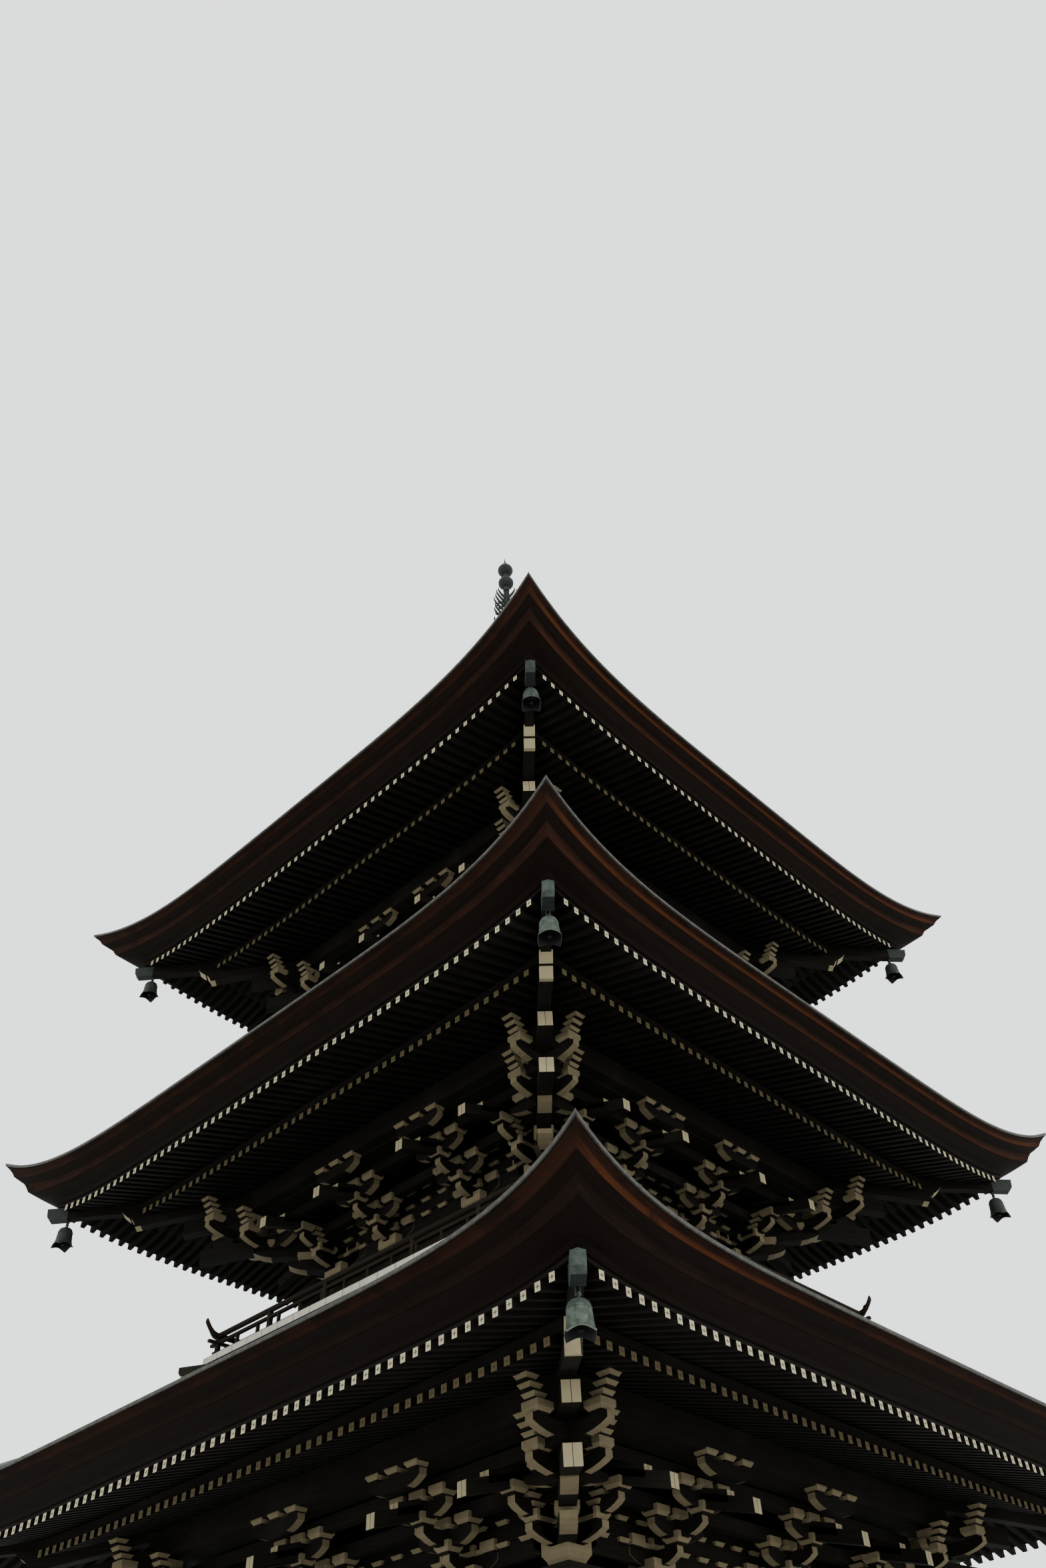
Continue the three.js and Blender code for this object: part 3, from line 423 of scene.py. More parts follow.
def band(along, divisions=1):
    """A closed strip carried round the four sides and mitred on the diagonals. along(u) gives rows of
    distance outwards and height for a column u from -1 to 1; a vertex is (u times distance, -distance,
    height) turned to its side. Rows crowd towards the corners: for even t, 1 - |u| is (1 - |t|)^1.6."""
    t = np.linspace(-1, 1, divisions * 2 + 1)[:, None]
    u = np.sign(t) * (1 - (1 - np.abs(t)) ** 1.6)
    out, high, u = np.broadcast_arrays(*along(u), u)
    front = np.stack([u * out, -out, high], -1)
    points = np.concatenate([turned((front[:-1].reshape(-1, 3), None, None), side)[0] for side in range(4)])
    here = np.arange(len(points)).reshape(-1, high.shape[1])
    there = np.roll(here, -1, 0)
    faces = np.stack([here, there, np.roll(there, -1, 1), np.roll(here, -1, 1)], -1).reshape(-1, 4)
    step = np.hypot(out[0] - np.roll(out[0], -1), high[0] - np.roll(high[0], -1))
    run = np.append(0, np.cumsum(step))
    x, above = front[..., 0], np.roll(front[..., 0], -1, 1)
    uv = np.zeros((len(u) - 1, len(step), 4, 2))
    uv[..., 0] = np.stack([x[:-1], x[1:], above[1:], above[:-1]], -1)
    uv[..., 1] = np.stack([run[:-1], run[:-1], run[1:], run[1:]], -1)
    uv = np.tile(uv.reshape(-1, 4, 2), (4, 1, 1))
    return points, [(faces, uv)], np.full(len(points), dice.random())


def ring(d0, d1, z0, z1):
    """A plain square ring of timber between two distances and two heights."""
    return band(lambda u: (np.array([d0, d1, d1, d0]), np.array([z0, z0, z1, z1])))


for number, s in enumerate(STOREYS):
    foot, head, r = s["floor"] + (0 if number else 0.06), s["plate"], s["column"]
    shaft = [(0.99 * r, foot), (r, foot + 0.02), (r, head - 0.35)]
    shaft += [(0.985 * r, head - 0.12), (0.93 * r, head - 0.03), (0.86 * r, head)]
    name, columns = s["name"], around(lathe(shaft, seats(s), 32))
    piece(f"{name}_round_columns", columns, [dark], smooth=True)
    plates = [ring(s["wall"] - 0.16, s["wall"] + 0.16, head, head + 0.06)]
    piece(f"{name}_column_plate", plates, [dark], [f"{name}_frame"])

# Board walls between the columns: upright planks round a window in each side bay, with long tie boards
# nailed over the columns, and in each window a frame and close upright bars set corner outwards.
boards = timber("wall_boards", (0.0075, 0.0064, 0.0047), (0.0185, 0.0153, 0.0108))
bar_paint = timber("window_bars", (0.0108, 0.0144, 0.0101), (0.0216, 0.027, 0.018))


def planks(x0, x1, z0, z1, y0, y1, width=0.17):
    """Upright planks side by side, each as wide as the run divides into, a hair apart."""
    edges = np.linspace(x0, x1, max(1, round((x1 - x0) / width)) + 1)
    return bars(gapped(edges, 0.0012), (y0, y1), (z0, z1))


def bay_wall(s, x0, x1, sill, head):
    """Planks of one side bay from x0 to x1 with its window, the window's frame and its bars."""
    w, low, high = -s["wall"], s["floor"], s["plate"]
    inner, outer = x0 + 0.11, x1 - 0.11
    foot, top = low + sill, low + head
    y = (w - 0.032, w + 0.032)
    walling = [
        planks(x0, inner, low, high, *y),
        planks(outer, x1, low, high, *y),
        planks(inner, outer, low, foot, *y),
        planks(inner, outer, top, high, *y),
    ]
    jambs = [(inner - 0.02, inner + 0.045), (outer - 0.045, outer + 0.02)]
    rails = [(foot - 0.03, foot + 0.04), (top - 0.04, top + 0.03)]
    walling.append(bars(jambs, (w - 0.055, w + 0.05), (foot, top)))
    walling.append(bars((inner - 0.02, outer + 0.02), (w - 0.06, w + 0.05), rails))
    x = np.arange(inner + 0.075, outer - 0.06, 0.058)
    corner_out = [(0.022, 0), (0, 0.022), (-0.022, 0), (0, -0.022)]
    rods = prism(corner_out, spots(x, -w, foot + 0.03), spots(x, -w, top - 0.03), ALONG, (0, 1, 0))
    return [(part, 0) for part in walling] + [(rods, 1)]


for number, s in enumerate(STOREYS):
    name, low, r, W = s["name"], s["floor"], s["column"], s["wall"]
    sill, head = (0.09, 0.5) if number else (0.92, 2.08)
    wall = []
    near, far = s["inner"] + r * 0.9, W - r * 0.9
    for x0, x1 in ((near, far), (-far, -near)):
        bay = bay_wall(s, x0, x1, sill, head)
        wall += [(turned(part, side), finish) for part, finish in bay for side in range(4)]
    ties = [(0.0, 0.09), (0.5, 0.59)] if number else [(0.0, 0.18), (2.08, 2.23)]
    for z0, z1 in ties:
        wall.append(ring(W + 0.03, W + r + 0.025, low + z0, low + z1))
        wall.append(ring(W - 0.06, W - 0.03, low + z0, low + z1))
    half = s["inner"] - r * 0.9
    wall += around(planks(-half, half, low + ties[1][1], s["plate"], -W - 0.03, -W + 0.03))
    wall.append(ring(W - 0.07, W + 0.075, s["plate"] - 0.15, s["plate"]))
    if number:
        half, tall = s["inner"] - r, (low + sill, low + head)
        leaves = bars([(-half, -0.003), (0.003, half)], (-W - 0.02, -W + 0.03), tall)
        edges = [(-half, -half + 0.09), (-0.09, -0.004), (0.004, 0.09), (half - 0.09, half)]
        wall += around(leaves, bars(edges, (-W - 0.04, -W + 0.02), tall))
    piece(f"{name}_board_walls", wall, [boards, bar_paint], [f"{name}_walls"])

# Four pairs of ground storey doors: heavy stiles and rails of cypress with raised panels between them,
# and on each rail a row of domed iron nail covers.
iron = Finish("black_iron", metallic=0.7, specular=0.4)
mottle = iron.noise(iron.place(), 60)
rust = iron.blend(mottle, (0.0175, 0.017, 0.016), (0.0425, 0.03, 0.0225))
iron = iron.done(rust, 0.55 + mottle * 0.25, mottle, 0.001)
ground = STOREYS[0]
half = ground["inner"] - ground["column"] - 0.1
low, high, w = ground["floor"] + 0.18, ground["floor"] + 2.08, -ground["wall"]
rails = [(low + 0.002, low + 0.14), (low + 0.62, low + 0.72), (low + 1.2, low + 1.3)]
rails = np.array([*rails, (high - 0.12, high - 0.002)])
fields = np.stack([rails[:-1, 1], rails[1:, 0]], 1)
nail = [(0.017, 0.0), (0.0155, 0.006), (0.010, 0.011), (0.003, 0.013)]
for side, facing in enumerate(SIDES):
    door = []
    for x0, x1 in ((-half + 0.002, -0.003), (0.003, half - 0.002)):
        stiles = [(x0, x0 + 0.1), (x1 - 0.1, x1)]
        door.append((bars(stiles, (w - 0.028, w + 0.028), (low + 0.002, high - 0.002)), 0))
        door.append((bars((x0 + 0.1, x1 - 0.1), (w - 0.026, w + 0.026), rails), 0))
        door.append((bars((x0 + 0.1, x1 - 0.1), (w - 0.010, w + 0.016), fields), 0))
        door.append((bars((x0 + 0.13, x1 - 0.13), (w - 0.018, w + 0.014), fields + [0.03, -0.03]), 0))
        across = np.repeat(np.linspace(x0 + 0.03, x1 - 0.03, 7), len(rails))
        nails = spots(across, 0.028 - w, np.tile(rails.mean(1), 7))
        points, faces, tone = lathe(nail, 0 * nails, 10)
        points = points[:, [0, 2, 1]] * [-1, -1, 1] + np.repeat(nails, len(points) // len(nails), 0)
        door.append(((points, faces, tone), 1))
    door = [(turned(part, side), finish) for part, finish in door]
    piece(f"doors_{facing}", door, [boards, iron], [f"storey_1_door_{facing}"])

# Bracket sets that step out three times from the wall: a big block on each column line, arms with
# curved ends and small blocks on them, long wall beams, and tail rafters that slant down and out over
# the arms to carry the eave purlin. Cypress, with ochre paint on the arm ends and white on the tails.
STEP, LAYER, ARM, THICK, ARM_TALL = 0.300, 0.165, 0.326, 0.082, 0.115
BASE_SLOPE, TAIL_SLOPE = 0.28, 0.27
BASE_REACH, FLYING_REACH = 13.4 * PITCH, 18.25 * PITCH  # the rafter tips beyond the wall line
SQ = math.sqrt(2)
ochre = {"paint": (0.18, 0.145, 0.085), "wear": 0.35}
arms_finish = timber("bracket_timber", (0.0055, 0.0048, 0.0035), (0.0125, 0.0106, 0.0075), **ochre)
white = {"paint": (0.36, 0.305, 0.185), "wear": 0.6, "line": True}
white_ends = timber("tail_rafter", (0.0075, 0.0066, 0.0048), (0.0165, 0.014, 0.010), **white)


def mirrored(outline):
    """The outline's points in backward order on the other side of its upright axis."""
    return [(-x, z) for x, z in outline[::-1]]


def arm_outline(half, cut=0.15):
    """An arm from the side: level on top, flat below in the middle, each end rising in three short
    facets to an upright end. Facets and ends are the painted edges."""
    end = [(half - cut, 0.0), (half - 0.62 * cut, 0.014), (half - 0.27 * cut, 0.036)]
    end += [(half, 0.062), (half, ARM_TALL)]
    return end + mirrored(end), (0, 1, 2, 3, 5, 6, 7, 8)


def cross_arms(x, d, z, half=ARM, cut=0.15):
    """Arms that run along the wall, centred at x and a distance d out."""
    outline, painted = arm_outline(half, cut)
    start = spots(x, d + THICK / 2, z)
    return prism(outline, start, start + [0, THICK, 0], ALONG, UP, painted, across=True)


def small_blocks(x, d, z, half=0.088, high=0.095):
    """Bearing blocks on an arm: upright above, drawn in by a hollow curve below, with painted faces."""
    levels = [(0.68 * half, 0.0), (0.74 * half, 0.016), (0.9 * half, 0.036), (half, 0.045), (half, high)]
    outline = [(r * SQ, up) for r, up in levels]
    return lathe(outline, spots(x, d, z), 4, math.pi / 4, painted=(1, 2, 3))


def out_arm(x, d0, d1, z, thick=THICK):
    """An arm that runs straight out from d0 to its painted end at d1."""
    outline, painted = arm_outline(d1)
    outline = outline[:5] + [(d0, ARM_TALL), (d0, 0.0)]
    start = spots(x - thick / 2, 0, z)
    return prism(outline, start, start + [thick, 0, 0], OUT, UP, painted[:4], across=True)


def tail(x, d0, d1, z, wide=0.1, tall=0.115):
    """A tail rafter whose tip's centre is at d1 and z, rising inwards to d0."""
    start, end = spots(x, d0, z + (d1 - d0) * TAIL_SLOPE), spots(x, d1, z)
    return prism(SQUARE * (wide / 2, tall / 2), start, end, ALONG, UP, ends=(False, True))


def stretched(part):
    """A part drawn outwards along -Y, with its distances lengthened as they are on the diagonal."""
    points, faces, tone = part
    return points * [1, SQ, 1], faces, tone


def spread(x):
    """Places for three blocks on each arm: its middle and near both ends."""
    return (x[:, None] + np.array([-STEP * 0.83, 0, STEP * 0.83])).ravel()


def base_line(s, d):
    """Height of the base rafters' middle at a distance d."""
    return s["flying"] + 0.012 + (s["base_reach"] - d) * BASE_SLOPE


for s in STOREYS:
    W, A = s["wall"], s["arm"]
    lines = np.array([-W, -s["inner"], s["inner"], W])
    inner_lines = lines[1:3]
    purlin = W + 3 * STEP
    s["base_reach"], s["flying_reach"] = W + BASE_REACH, W + FLYING_REACH
    under = base_line(s, purlin) - 0.055
    parts, tails = [], []
    big = [(0.105, -0.13), (0.112, -0.10), (0.135, -0.065), (0.145, -0.055), (0.145, 0.045)]
    big = [(r * SQ, z) for r, z in big]
    parts += around(lathe(big, seats(s) + [0, 0, A], 4, math.pi / 4, painted=range(4)))
    for level in range(3):
        d, z = W + level * STEP, A + level * LAYER
        x = inner_lines if level else lines
        parts += around(cross_arms(x, d, z))
        parts += around(small_blocks(spread(x), d, z + ARM_TALL))
        for x in lines if level < 2 else ():
            parts += around(out_arm(x, W, d + ARM, z))
            parts += around(small_blocks(x, d + STEP, z + ARM_TALL))
    z = A + 3 * LAYER
    parts += around(cross_arms(inner_lines, purlin, z))
    parts += around(small_blocks(spread(inner_lines), purlin, z + ARM_TALL, 0.08, 0.06))
    tip = W + 8.7 * PITCH
    for x in lines:
        tails += around(tail(x, W - 0.04, tip, A + 0.235))
        tails += around(tail(x, W - 0.04, tip - 0.25, A + 0.355, 0.1, 0.1))
    # On the diagonals the arms are broader and the set has a second, longer tail rafter
    diagonal = 0.144
    for level in range(2):
        d, z = W + (level + 1) * STEP, A + level * LAYER
        parts += around(stretched(out_arm(0, W, d + 0.14, z, diagonal)), corner=True)
        parts += around(small_blocks(0.0, d * SQ, z + ARM_TALL, 0.1), corner=True)
    for reach, high in ((1.175, 0.20), (1.35, 0.555)):
        tails += around(stretched(tail(0, W, W + reach, A + high, diagonal, 0.16)), corner=True)
    for d, z in ((W, A), (W + 2 * STEP, A + 1.6 * LAYER), (purlin, A + 2.45 * LAYER)):
        for hand in (-1, 1):
            parts += around(cross_arms(hand * d, d, z, 0.435, 0.23))
            x = hand * (d + np.array([-0.27, 0.335]))
            parts += around(small_blocks(x, d, z + ARM_TALL))
            for shift, high in ((0.035, 0.212), (0.075, 0.272), (0.115, 0.332)):
                parts += around(small_blocks(x[1:] + hand * shift, d, z + high, 0.072, 0.052))
    # Long beams at the wall and over the arms, and the purlin
    beams = []
    for d, level in ((W, 1), (W, 2), (W, 3), (W + STEP, 2), (W + 2 * STEP, 3)):
        beams.append(ring(d - 0.05, d + 0.05, A + level * LAYER, A + level * LAYER + ARM_TALL))
    beams.append(ring(purlin - 0.065, purlin + 0.065, A + 4 * LAYER, under))
    beams.append(ring(W - 0.03, W + 0.03, A, under + 0.2))
    for level in (1, 2, 3):
        x = np.arange(-W + PITCH, W, 2 * PITCH)
        parts += around(small_blocks(x, W, A + level * LAYER - 0.05, 0.07, 0.05))
    beams.append(ring(W + 0.05, purlin - 0.065, A + 4 * LAYER - 0.02, A + 4 * LAYER + 0.005))
    mixed = [*parts, *beams, *((part, 1) for part in tails)]
    name = s["name"]
    piece(f"{name}_bracket_sets", mixed, [arms_finish, white_ends], [f"{name}_brackets"])

# Base rafters: a close row of square timbers over the purlin, lifted together towards each corner, with
# the soffit boards on them. The tips are painted ochre.
ochre = {"paint": (0.165, 0.130, 0.070), "wear": 0.3, "cross": 0.5}
ochre_tips = timber("base_rafter_timber", (0.0052, 0.0046, 0.0034), (0.0115, 0.0098, 0.0072), **ochre)
BASE_HALF, FLYING_HALF = (0.031, 0.033), (0.0265, 0.033)
BOARDS = (0.033, 0.068)  # underside and top of the soffit boards over the rafters' middle
FLYING_SLOPE = 0.27


def lift(s, x):
    """How far the eaves rise at x: the storey's rise times (|x| over the corner distance) to its power."""
    return s["rise"] * (np.abs(x) / s["at"]) ** s["power"]


def shared(s, d):
    """The share of that rise at a distance d: none at the purlin, all at the base rafters' tips."""
    start = s["wall"] + 0.965
    return np.clip((d - start) / (s["base_reach"] - start), 0, 1)


def flying_line(s, d):
    """Height of the flying rafters' middle at a distance d."""
    return s["flying"] + (s["flying_reach"] - d) * FLYING_SLOPE


def rafter_row(s, line, tips, heel, count, half):
    """One side's rafters: straight timbers from the heel line, or from the hip where that is further out,
    to the tips; each end is raised by the lift at its x times the share at its distance."""
    x = (np.arange(count) + 0.5) * PITCH
    x = np.concatenate([-x[::-1], x])
    inner = np.maximum(heel, np.abs(x) + 0.07)
    start = spots(x, inner, line(s, inner) + lift(s, x) * shared(s, inner))
    end = spots(x, tips, line(s, tips) + lift(s, x) * shared(s, tips))
    return prism(SQUARE * half, start, end, ALONG, UP, ends=(False, True))


def raised(s, out, high):
    """A strip round the eaves from rows of distances and heights, raised like the rafters."""
    return band(lambda u: (out, high + lift(s, u * out) * shared(s, out)), 26)


def draped(s, line, inner, outer, rows):
    """Boards that lie over the rafters from inner to outer."""
    d = np.linspace(inner, outer, rows)
    out = np.concatenate([d, d[::-1]])
    return raised(s, out, line(s, out) + np.repeat(BOARDS, rows))


for s, count in zip(STOREYS, (26, 24, 22)):
    name, heel, tips = s["name"], s["wall"] - 0.4, s["base_reach"]
    rows = around(rafter_row(s, base_line, tips, heel, count, BASE_HALF))
    rows.append(draped(s, base_line, heel, tips - 0.01, 8))
    piece(f"{name}_lower_rafters", rows, [ochre_tips], [f"{name}_base_rafters"])

# Hip rafters run out on the diagonals under the corners of the eaves, in two tiers, with the beam
# along the base rafter tips that ties them. The lower tips are painted white and shaped in two
# parts; a cap of verdigris copper covers each upper tip, and a bell's hanger is fixed below it.
HIP, LOWER_HIP = 0.100, 0.130


def near_corner_lit(finish, above):
    """1 at the corner nearest the camera and 0 away from it, less on the top storey: where it is below 1 the
    caps and bells take painted shade.
    """
    x, y, z = finish.split(finish.place())
    return finish.ramp(x - y, 3.0, 6.0) * (1 - finish.ramp(z, 10.0, 12.0) * above)


cap_copper = Finish("verdigris_cap", metallic=0.25, specular=0.35)
bloom = cap_copper.noise(cap_copper.place(), 14, 6.0, 0.65)
runs = cap_copper.streaks(30.0, 2.0)
shade = cap_copper.blend(cap_copper.ramp(bloom, 0.35, 0.65), (0.024, 0.034, 0.028), (0.055, 0.070, 0.059))
shade = cap_copper.blend(cap_copper.ramp(runs, 0.56, 0.75) * 0.6, shade, (0.016, 0.019, 0.015))
# Painted shade: the faces under the cap and the collar, marked as painted edges, are darkened nearly to
# black.
below = cap_copper.uv()[1] > PAINT / 2
shade = cap_copper.blend(below * 0.8, shade, (0.007, 0.010, 0.009))
# Painted shade: the caps away from the near corner are darkened.
shade = cap_copper.blend((1 - near_corner_lit(cap_copper, 0.7)) * 0.7, shade, (0.007, 0.009, 0.007))
verdigris = cap_copper.done(shade, 0.62 + bloom * 0.2, bloom + runs * 0.5, 0.0015)


def plate(outline, wide, painted=()):
    """An outline of distance out from the axis and height, given a width across it."""
    return prism(outline, (-wide / 2, 0, 0), (wide / 2, 0, 0), OUT, UP, painted, across=True)


def upright(outline, wide, painted=()):
    """A plate for the diagonal, from distances that are measured square to the eaves."""
    return plate(np.array(outline) * [SQ, 1], wide, painted)


def circle(radius):
    angle = np.arange(12) * math.pi / 6
    return np.stack([np.cos(angle), np.sin(angle)], 1) * radius


for s in STOREYS:
    B, R = s["base_reach"], s["flying_reach"]
    F = base_line(s, B)
    heel = s["wall"] - 0.1
    heel_foot = F - 0.108 + (B - 0.05 - heel) * BASE_SLOPE
    lower = [
        (heel, heel_foot),
        (B - 0.095, F - 0.0954),
        (B - 0.050, F - 0.108),
        (B - 0.041, F - 0.072),
        (B - 0.025, F - 0.034),
        (B - 0.008, F - 0.008),
        (B - 0.004, F + 0.006),
        (B + 0.010, F + 0.002),
        (B + 0.030, F + 0.018),
        (B + 0.058, F + 0.048),
        (B + 0.085, F + 0.084),
        (B - 0.060, F + 0.083),
        (heel, heel_foot + 0.165),
    ]
    foot = s["flying"] + 0.025
    upper_foot = foot + (R - B + 0.14) * 0.087
    upper = [
        (B - 0.075, upper_foot),
        (R + 0.010, foot + 0.004),
        (R + 0.040, foot + 0.045),
        (R + 0.050, foot + 0.14),
        (B - 0.075, upper_foot + 0.19),
    ]
    hips = around(upright(lower, LOWER_HIP, (1, 2, 3, 4, 7, 8, 9)), upright(upper, HIP), corner=True)
    back = R - 0.115
    cap = [(back, foot + 0.012), (R + 0.027, foot), (R + 0.053, foot + 0.044), (R + 0.063, foot + 0.142)]
    cap.append((back, foot + 0.156))
    collar = [(back - 0.006, foot + 0.006), (back + 0.014, foot + 0.005)]
    collar += [(back + 0.014, foot + 0.160), (back - 0.006, foot + 0.162)]
    peak = [(-0.0545, 0.0), (0.0545, 0.0), (0.0, 0.020)]
    start, end = (0, -back * SQ, foot + 0.154), (0, -(R + 0.061) * SQ, foot + 0.140)
    copper = [upright(cap, 0.109, (0,)), upright(collar, 0.116, (0,))]
    copper.append(prism(peak, start, end, ALONG, UP))
    # The bell's hanger: two cheeks and the pin through them
    s["pin"] = np.array([0, -(R - 0.12) * SQ, s["flying"] - 0.022])
    cheek = [(-0.010, -0.012), (0.010, -0.012), (0.010, 0.064), (-0.010, 0.064)]
    for outline, x0, x1 in ((cheek, -0.014, -0.020), (cheek, 0.014, 0.020), (circle(0.0058), -0.024, 0.024)):
        copper.append(prism(outline, s["pin"] + [x0, 0, 0], s["pin"] + [x1, 0, 0], OUT, UP))
    hips += [(part, 2) for part in around(*copper, corner=True)]
    out = np.array([B - 0.07, B - 0.01])
    high = np.concatenate([base_line(s, out) + BOARDS[1], flying_line(s, out[::-1]) - 0.043])
    hips.append((raised(s, np.concatenate([out, out[::-1]]), high), 1))
    name, finishes = s["name"], [white_ends, dark, verdigris]
    piece(f"{name}_hips_and_beam", hips, finishes, [f"{name}_hip_rafters"])

# Flying rafters: a second row on the beam, reaching further out at a lower slope, with white tips and
# the boards on them.
white = {"paint": (0.50, 0.435, 0.29), "wear": 0.7, "cross": 0.9}
white_tips = timber("flying_rafter_timber", (0.0055, 0.0048, 0.0036), (0.0120, 0.0102, 0.0074), **white)
for s, count in zip(STOREYS, (31, 29, 27)):
    name, heel, tips = s["name"], s["base_reach"] - 0.068, s["flying_reach"]
    rows = around(rafter_row(s, flying_line, tips, heel, count, FLYING_HALF))
    rows.append(draped(s, flying_line, heel - 0.002, tips - 0.003, 4))
    piece(f"{name}_upper_rafters", rows, [white_tips], [f"{name}_flying_rafters"])

# Eave edge: the beam on the rafter tips and above it two stepped tiers of many thin shingle layers, each
# trimmed to a steep hollow face with a slanting underside. Cedar bark and shingles, red-brown.
shingle = Finish("layered_shingle_edge", specular=0.06)
u, v = shingle.uv()
place = shingle.place()
layer = shingle.noise(shingle.point(u * 2.5, v * 170), 1.0, 3.0, 0.5)
streak = shingle.noise(shingle.point(u * 0.8, v * 12), 1.0, 6.0, 0.62)
mould = shingle.noise(place, 2.6, 6.0, 0.65)
layers = shingle.ramp(layer, 0.3, 0.7)
# grime_and_shade is the colour of the mould patches and also of the painted shade in the recesses.
grime_and_shade = shingle.blend(layers, (0.0034, 0.0022, 0.0015), (0.0085, 0.0046, 0.003))
clean = shingle.blend(layers, (0.0105, 0.0040, 0.0022), (0.023, 0.0085, 0.0045))
# Painted highlight: the orange of the lit lower arrises.
painted_highlight = shingle.blend(streak, (0.024, 0.0075, 0.0028), (0.074, 0.0235, 0.0076))
# The painted highlight lies on the side facing +X, low on each face and mostly on the upper tier;
# low_right_shade is painted shade that takes most of it back in the middle of that side on storey 1.
x, y, z = shingle.split(place)
from_corner = x - y.maths("ABSOLUTE") + (streak - 0.5) * 0.5
low_right_shade = (1 - shingle.ramp(z, 6.0, 8.0)) * shingle.ramp(from_corner, 1.6, 3.2)
facing = shingle.ramp(from_corner, -0.05, 0.3) * (1 - low_right_shade * 0.8)
tier = shingle.tone()
trimmed = shingle.blend(shingle.ramp(mould, 0.42, 0.66) * 0.8, clean, grime_and_shade)
low_down = 1 - shingle.ramp(v + (streak - 0.5) * 0.04, 0.045, 0.098)
lit = low_down * (facing * 0.95 + 0.05) * shingle.ramp(tier, 0.4, 0.9) * shingle.ramp(mould, 0.30, 0.46)
trimmed = shingle.blend(lit, trimmed, painted_highlight)
edge = shingle.blend(shingle.ramp(tier, 0.2, 0.5), grime_and_shade, trimmed)
shingles = shingle.done(edge, 0.86, layer + streak, 0.004)
GROWTH = 0.034


def eave_band(s, outline):
    """A closed strip along the eave. Each outline point is distance beyond the rafter tips, height above
    them, and its shares of the sweep and of the growth that take the edge out and up at the corners."""
    out0, up, swept_share, grown_share = np.array(outline).T

    def along(u):
        far = np.abs(u)
        out = s["flying_reach"] + out0 + swept_share * s["sweep"] * far**5
        return out, s["flying"] + up + grown_share * GROWTH * far**6 + lift(s, u * out)

    return band(along, 30)


eave_beam = [(-0.055, 0.068, 0, 0), (0.022, 0.068, 0, 0), (0.040, 0.098, 0.1, 0), (0.040, 0.16, 0.1, 0)]
eave_beam.append((-0.055, 0.16, 0, 0))
core = [
    (0.035, 0.101, 0.1, 0),
    (0.095, 0.150, 0.5, -0.6),
    (0.160, 0.217, 0.75, -1.9),
    (0.170, 0.241, 0.78, -1.4),
    (0.203, 0.265, 0.86, -0.6),
    (0.250, 0.293, 0.88, -0.7),
    (0.293, 0.331, 0.9, -1.0),
    (0.304, 0.356, 0.94, -0.2),
    (0.352, 0.381, 0.99, 0.8),
    (-0.055, 0.384, 0, 0.7),
    (-0.055, 0.161, 0, 0),
]
lower = [
    (0.172, 0.222, 0.74, -2.0),
    (0.179, 0.234, 0.78, -1.6),
    (0.190, 0.249, 0.81, -1.1),
    (0.210, 0.267, 0.85, -0.6),
    (0.199, 0.269, 0.85, -0.6),
    (0.179, 0.255, 0.81, -1.1),
    (0.167, 0.240, 0.78, -1.6),
    (0.159, 0.220, 0.74, -2.0),
]
upper = [
    (0.305, 0.335, 0.9, -1.0),
    (0.313, 0.345, 0.92, -0.6),
    (0.328, 0.357, 0.95, -0.1),
    (0.370, 0.375, 1, 0.75),
    (0.359, 0.380, 1, 0.75),
    (0.319, 0.366, 0.95, -0.1),
    (0.301, 0.353, 0.92, -0.6),
    (0.290, 0.330, 0.9, -1.0),
]
for s, sweep, lower_shade in zip(STOREYS, (0.150, 0.150, 0.185), (0.3, 0.6, 0.6)):
    s["sweep"] = sweep
    tiers = []
    # A tier's tone sets how much of the trimmed colour it takes: none on the beam and the core, part on the
    # lower tier and less on storey 1. This is painted shade in the recesses under the upper tier.
    for outline, shade in ((eave_beam, 0.0), (core, 0.0), (lower, lower_shade), (upper, 1.0)):
        points, faces, tone = eave_band(s, outline)
        tiers.append((points, faces, tone * 0 + shade))
    name = s["name"]
    piece(f"{name}_layered_edge", tiers, [shingles], [f"{name}_eave_edge"])

# Roofs: sheet copper in courses of flat-locked sheets over the boards, swept up to the corners, with a
# standing hip roll on each diagonal and a thin drip strip over the shingle edge, all gone verdigris.
sheet = Finish("weathered_copper_sheet", metallic=0.3, specular=0.35)
u, v = sheet.uv()
place = sheet.place()
row = (v * 5.0).maths("FLOOR")
sheets = u * 1.6 + row * 0.5
seam = sheet.ramp((sheets.maths("FRACT") - 0.5).maths("ABSOLUTE"), 0.485, 0.497)
cloud = sheet.noise(place, 0.9, 6.0, 0.6)
mottle = sheet.noise(place, 16, 5.0, 0.65)
cell = sheet.point(sheets.maths("FLOOR"), row)
each = sheet.node("TexWhiteNoise", {"noise_dimensions": "2D"}, {"Vector": cell})
patina = sheet.blend(sheet.ramp(mottle, 0.32, 0.7), (0.070, 0.076, 0.066), (0.150, 0.158, 0.138))
patina = sheet.blend(each * 0.45, patina, (0.060, 0.075, 0.064))
patina = sheet.blend(sheet.ramp(cloud, 0.5, 0.74) * 0.7, patina, (0.045, 0.042, 0.031))
patina = sheet.blend(seam * 0.7, patina, (0.028, 0.032, 0.027))
sheeting = sheet.done(patina, 0.55 + mottle * 0.25, mottle * 0.4 + seam * 1.5, 0.003)
drip = Finish("drip_strip", metallic=0.15, specular=0.25)
blotch = drip.ramp(drip.noise(drip.place(), 22, 5.0, 0.6), 0.35, 0.65)
strip_metal = drip.done(drip.blend(blotch, (0.032, 0.030, 0.025), (0.060, 0.056, 0.047)), 0.65)
ROOF_PEAK = 15.0
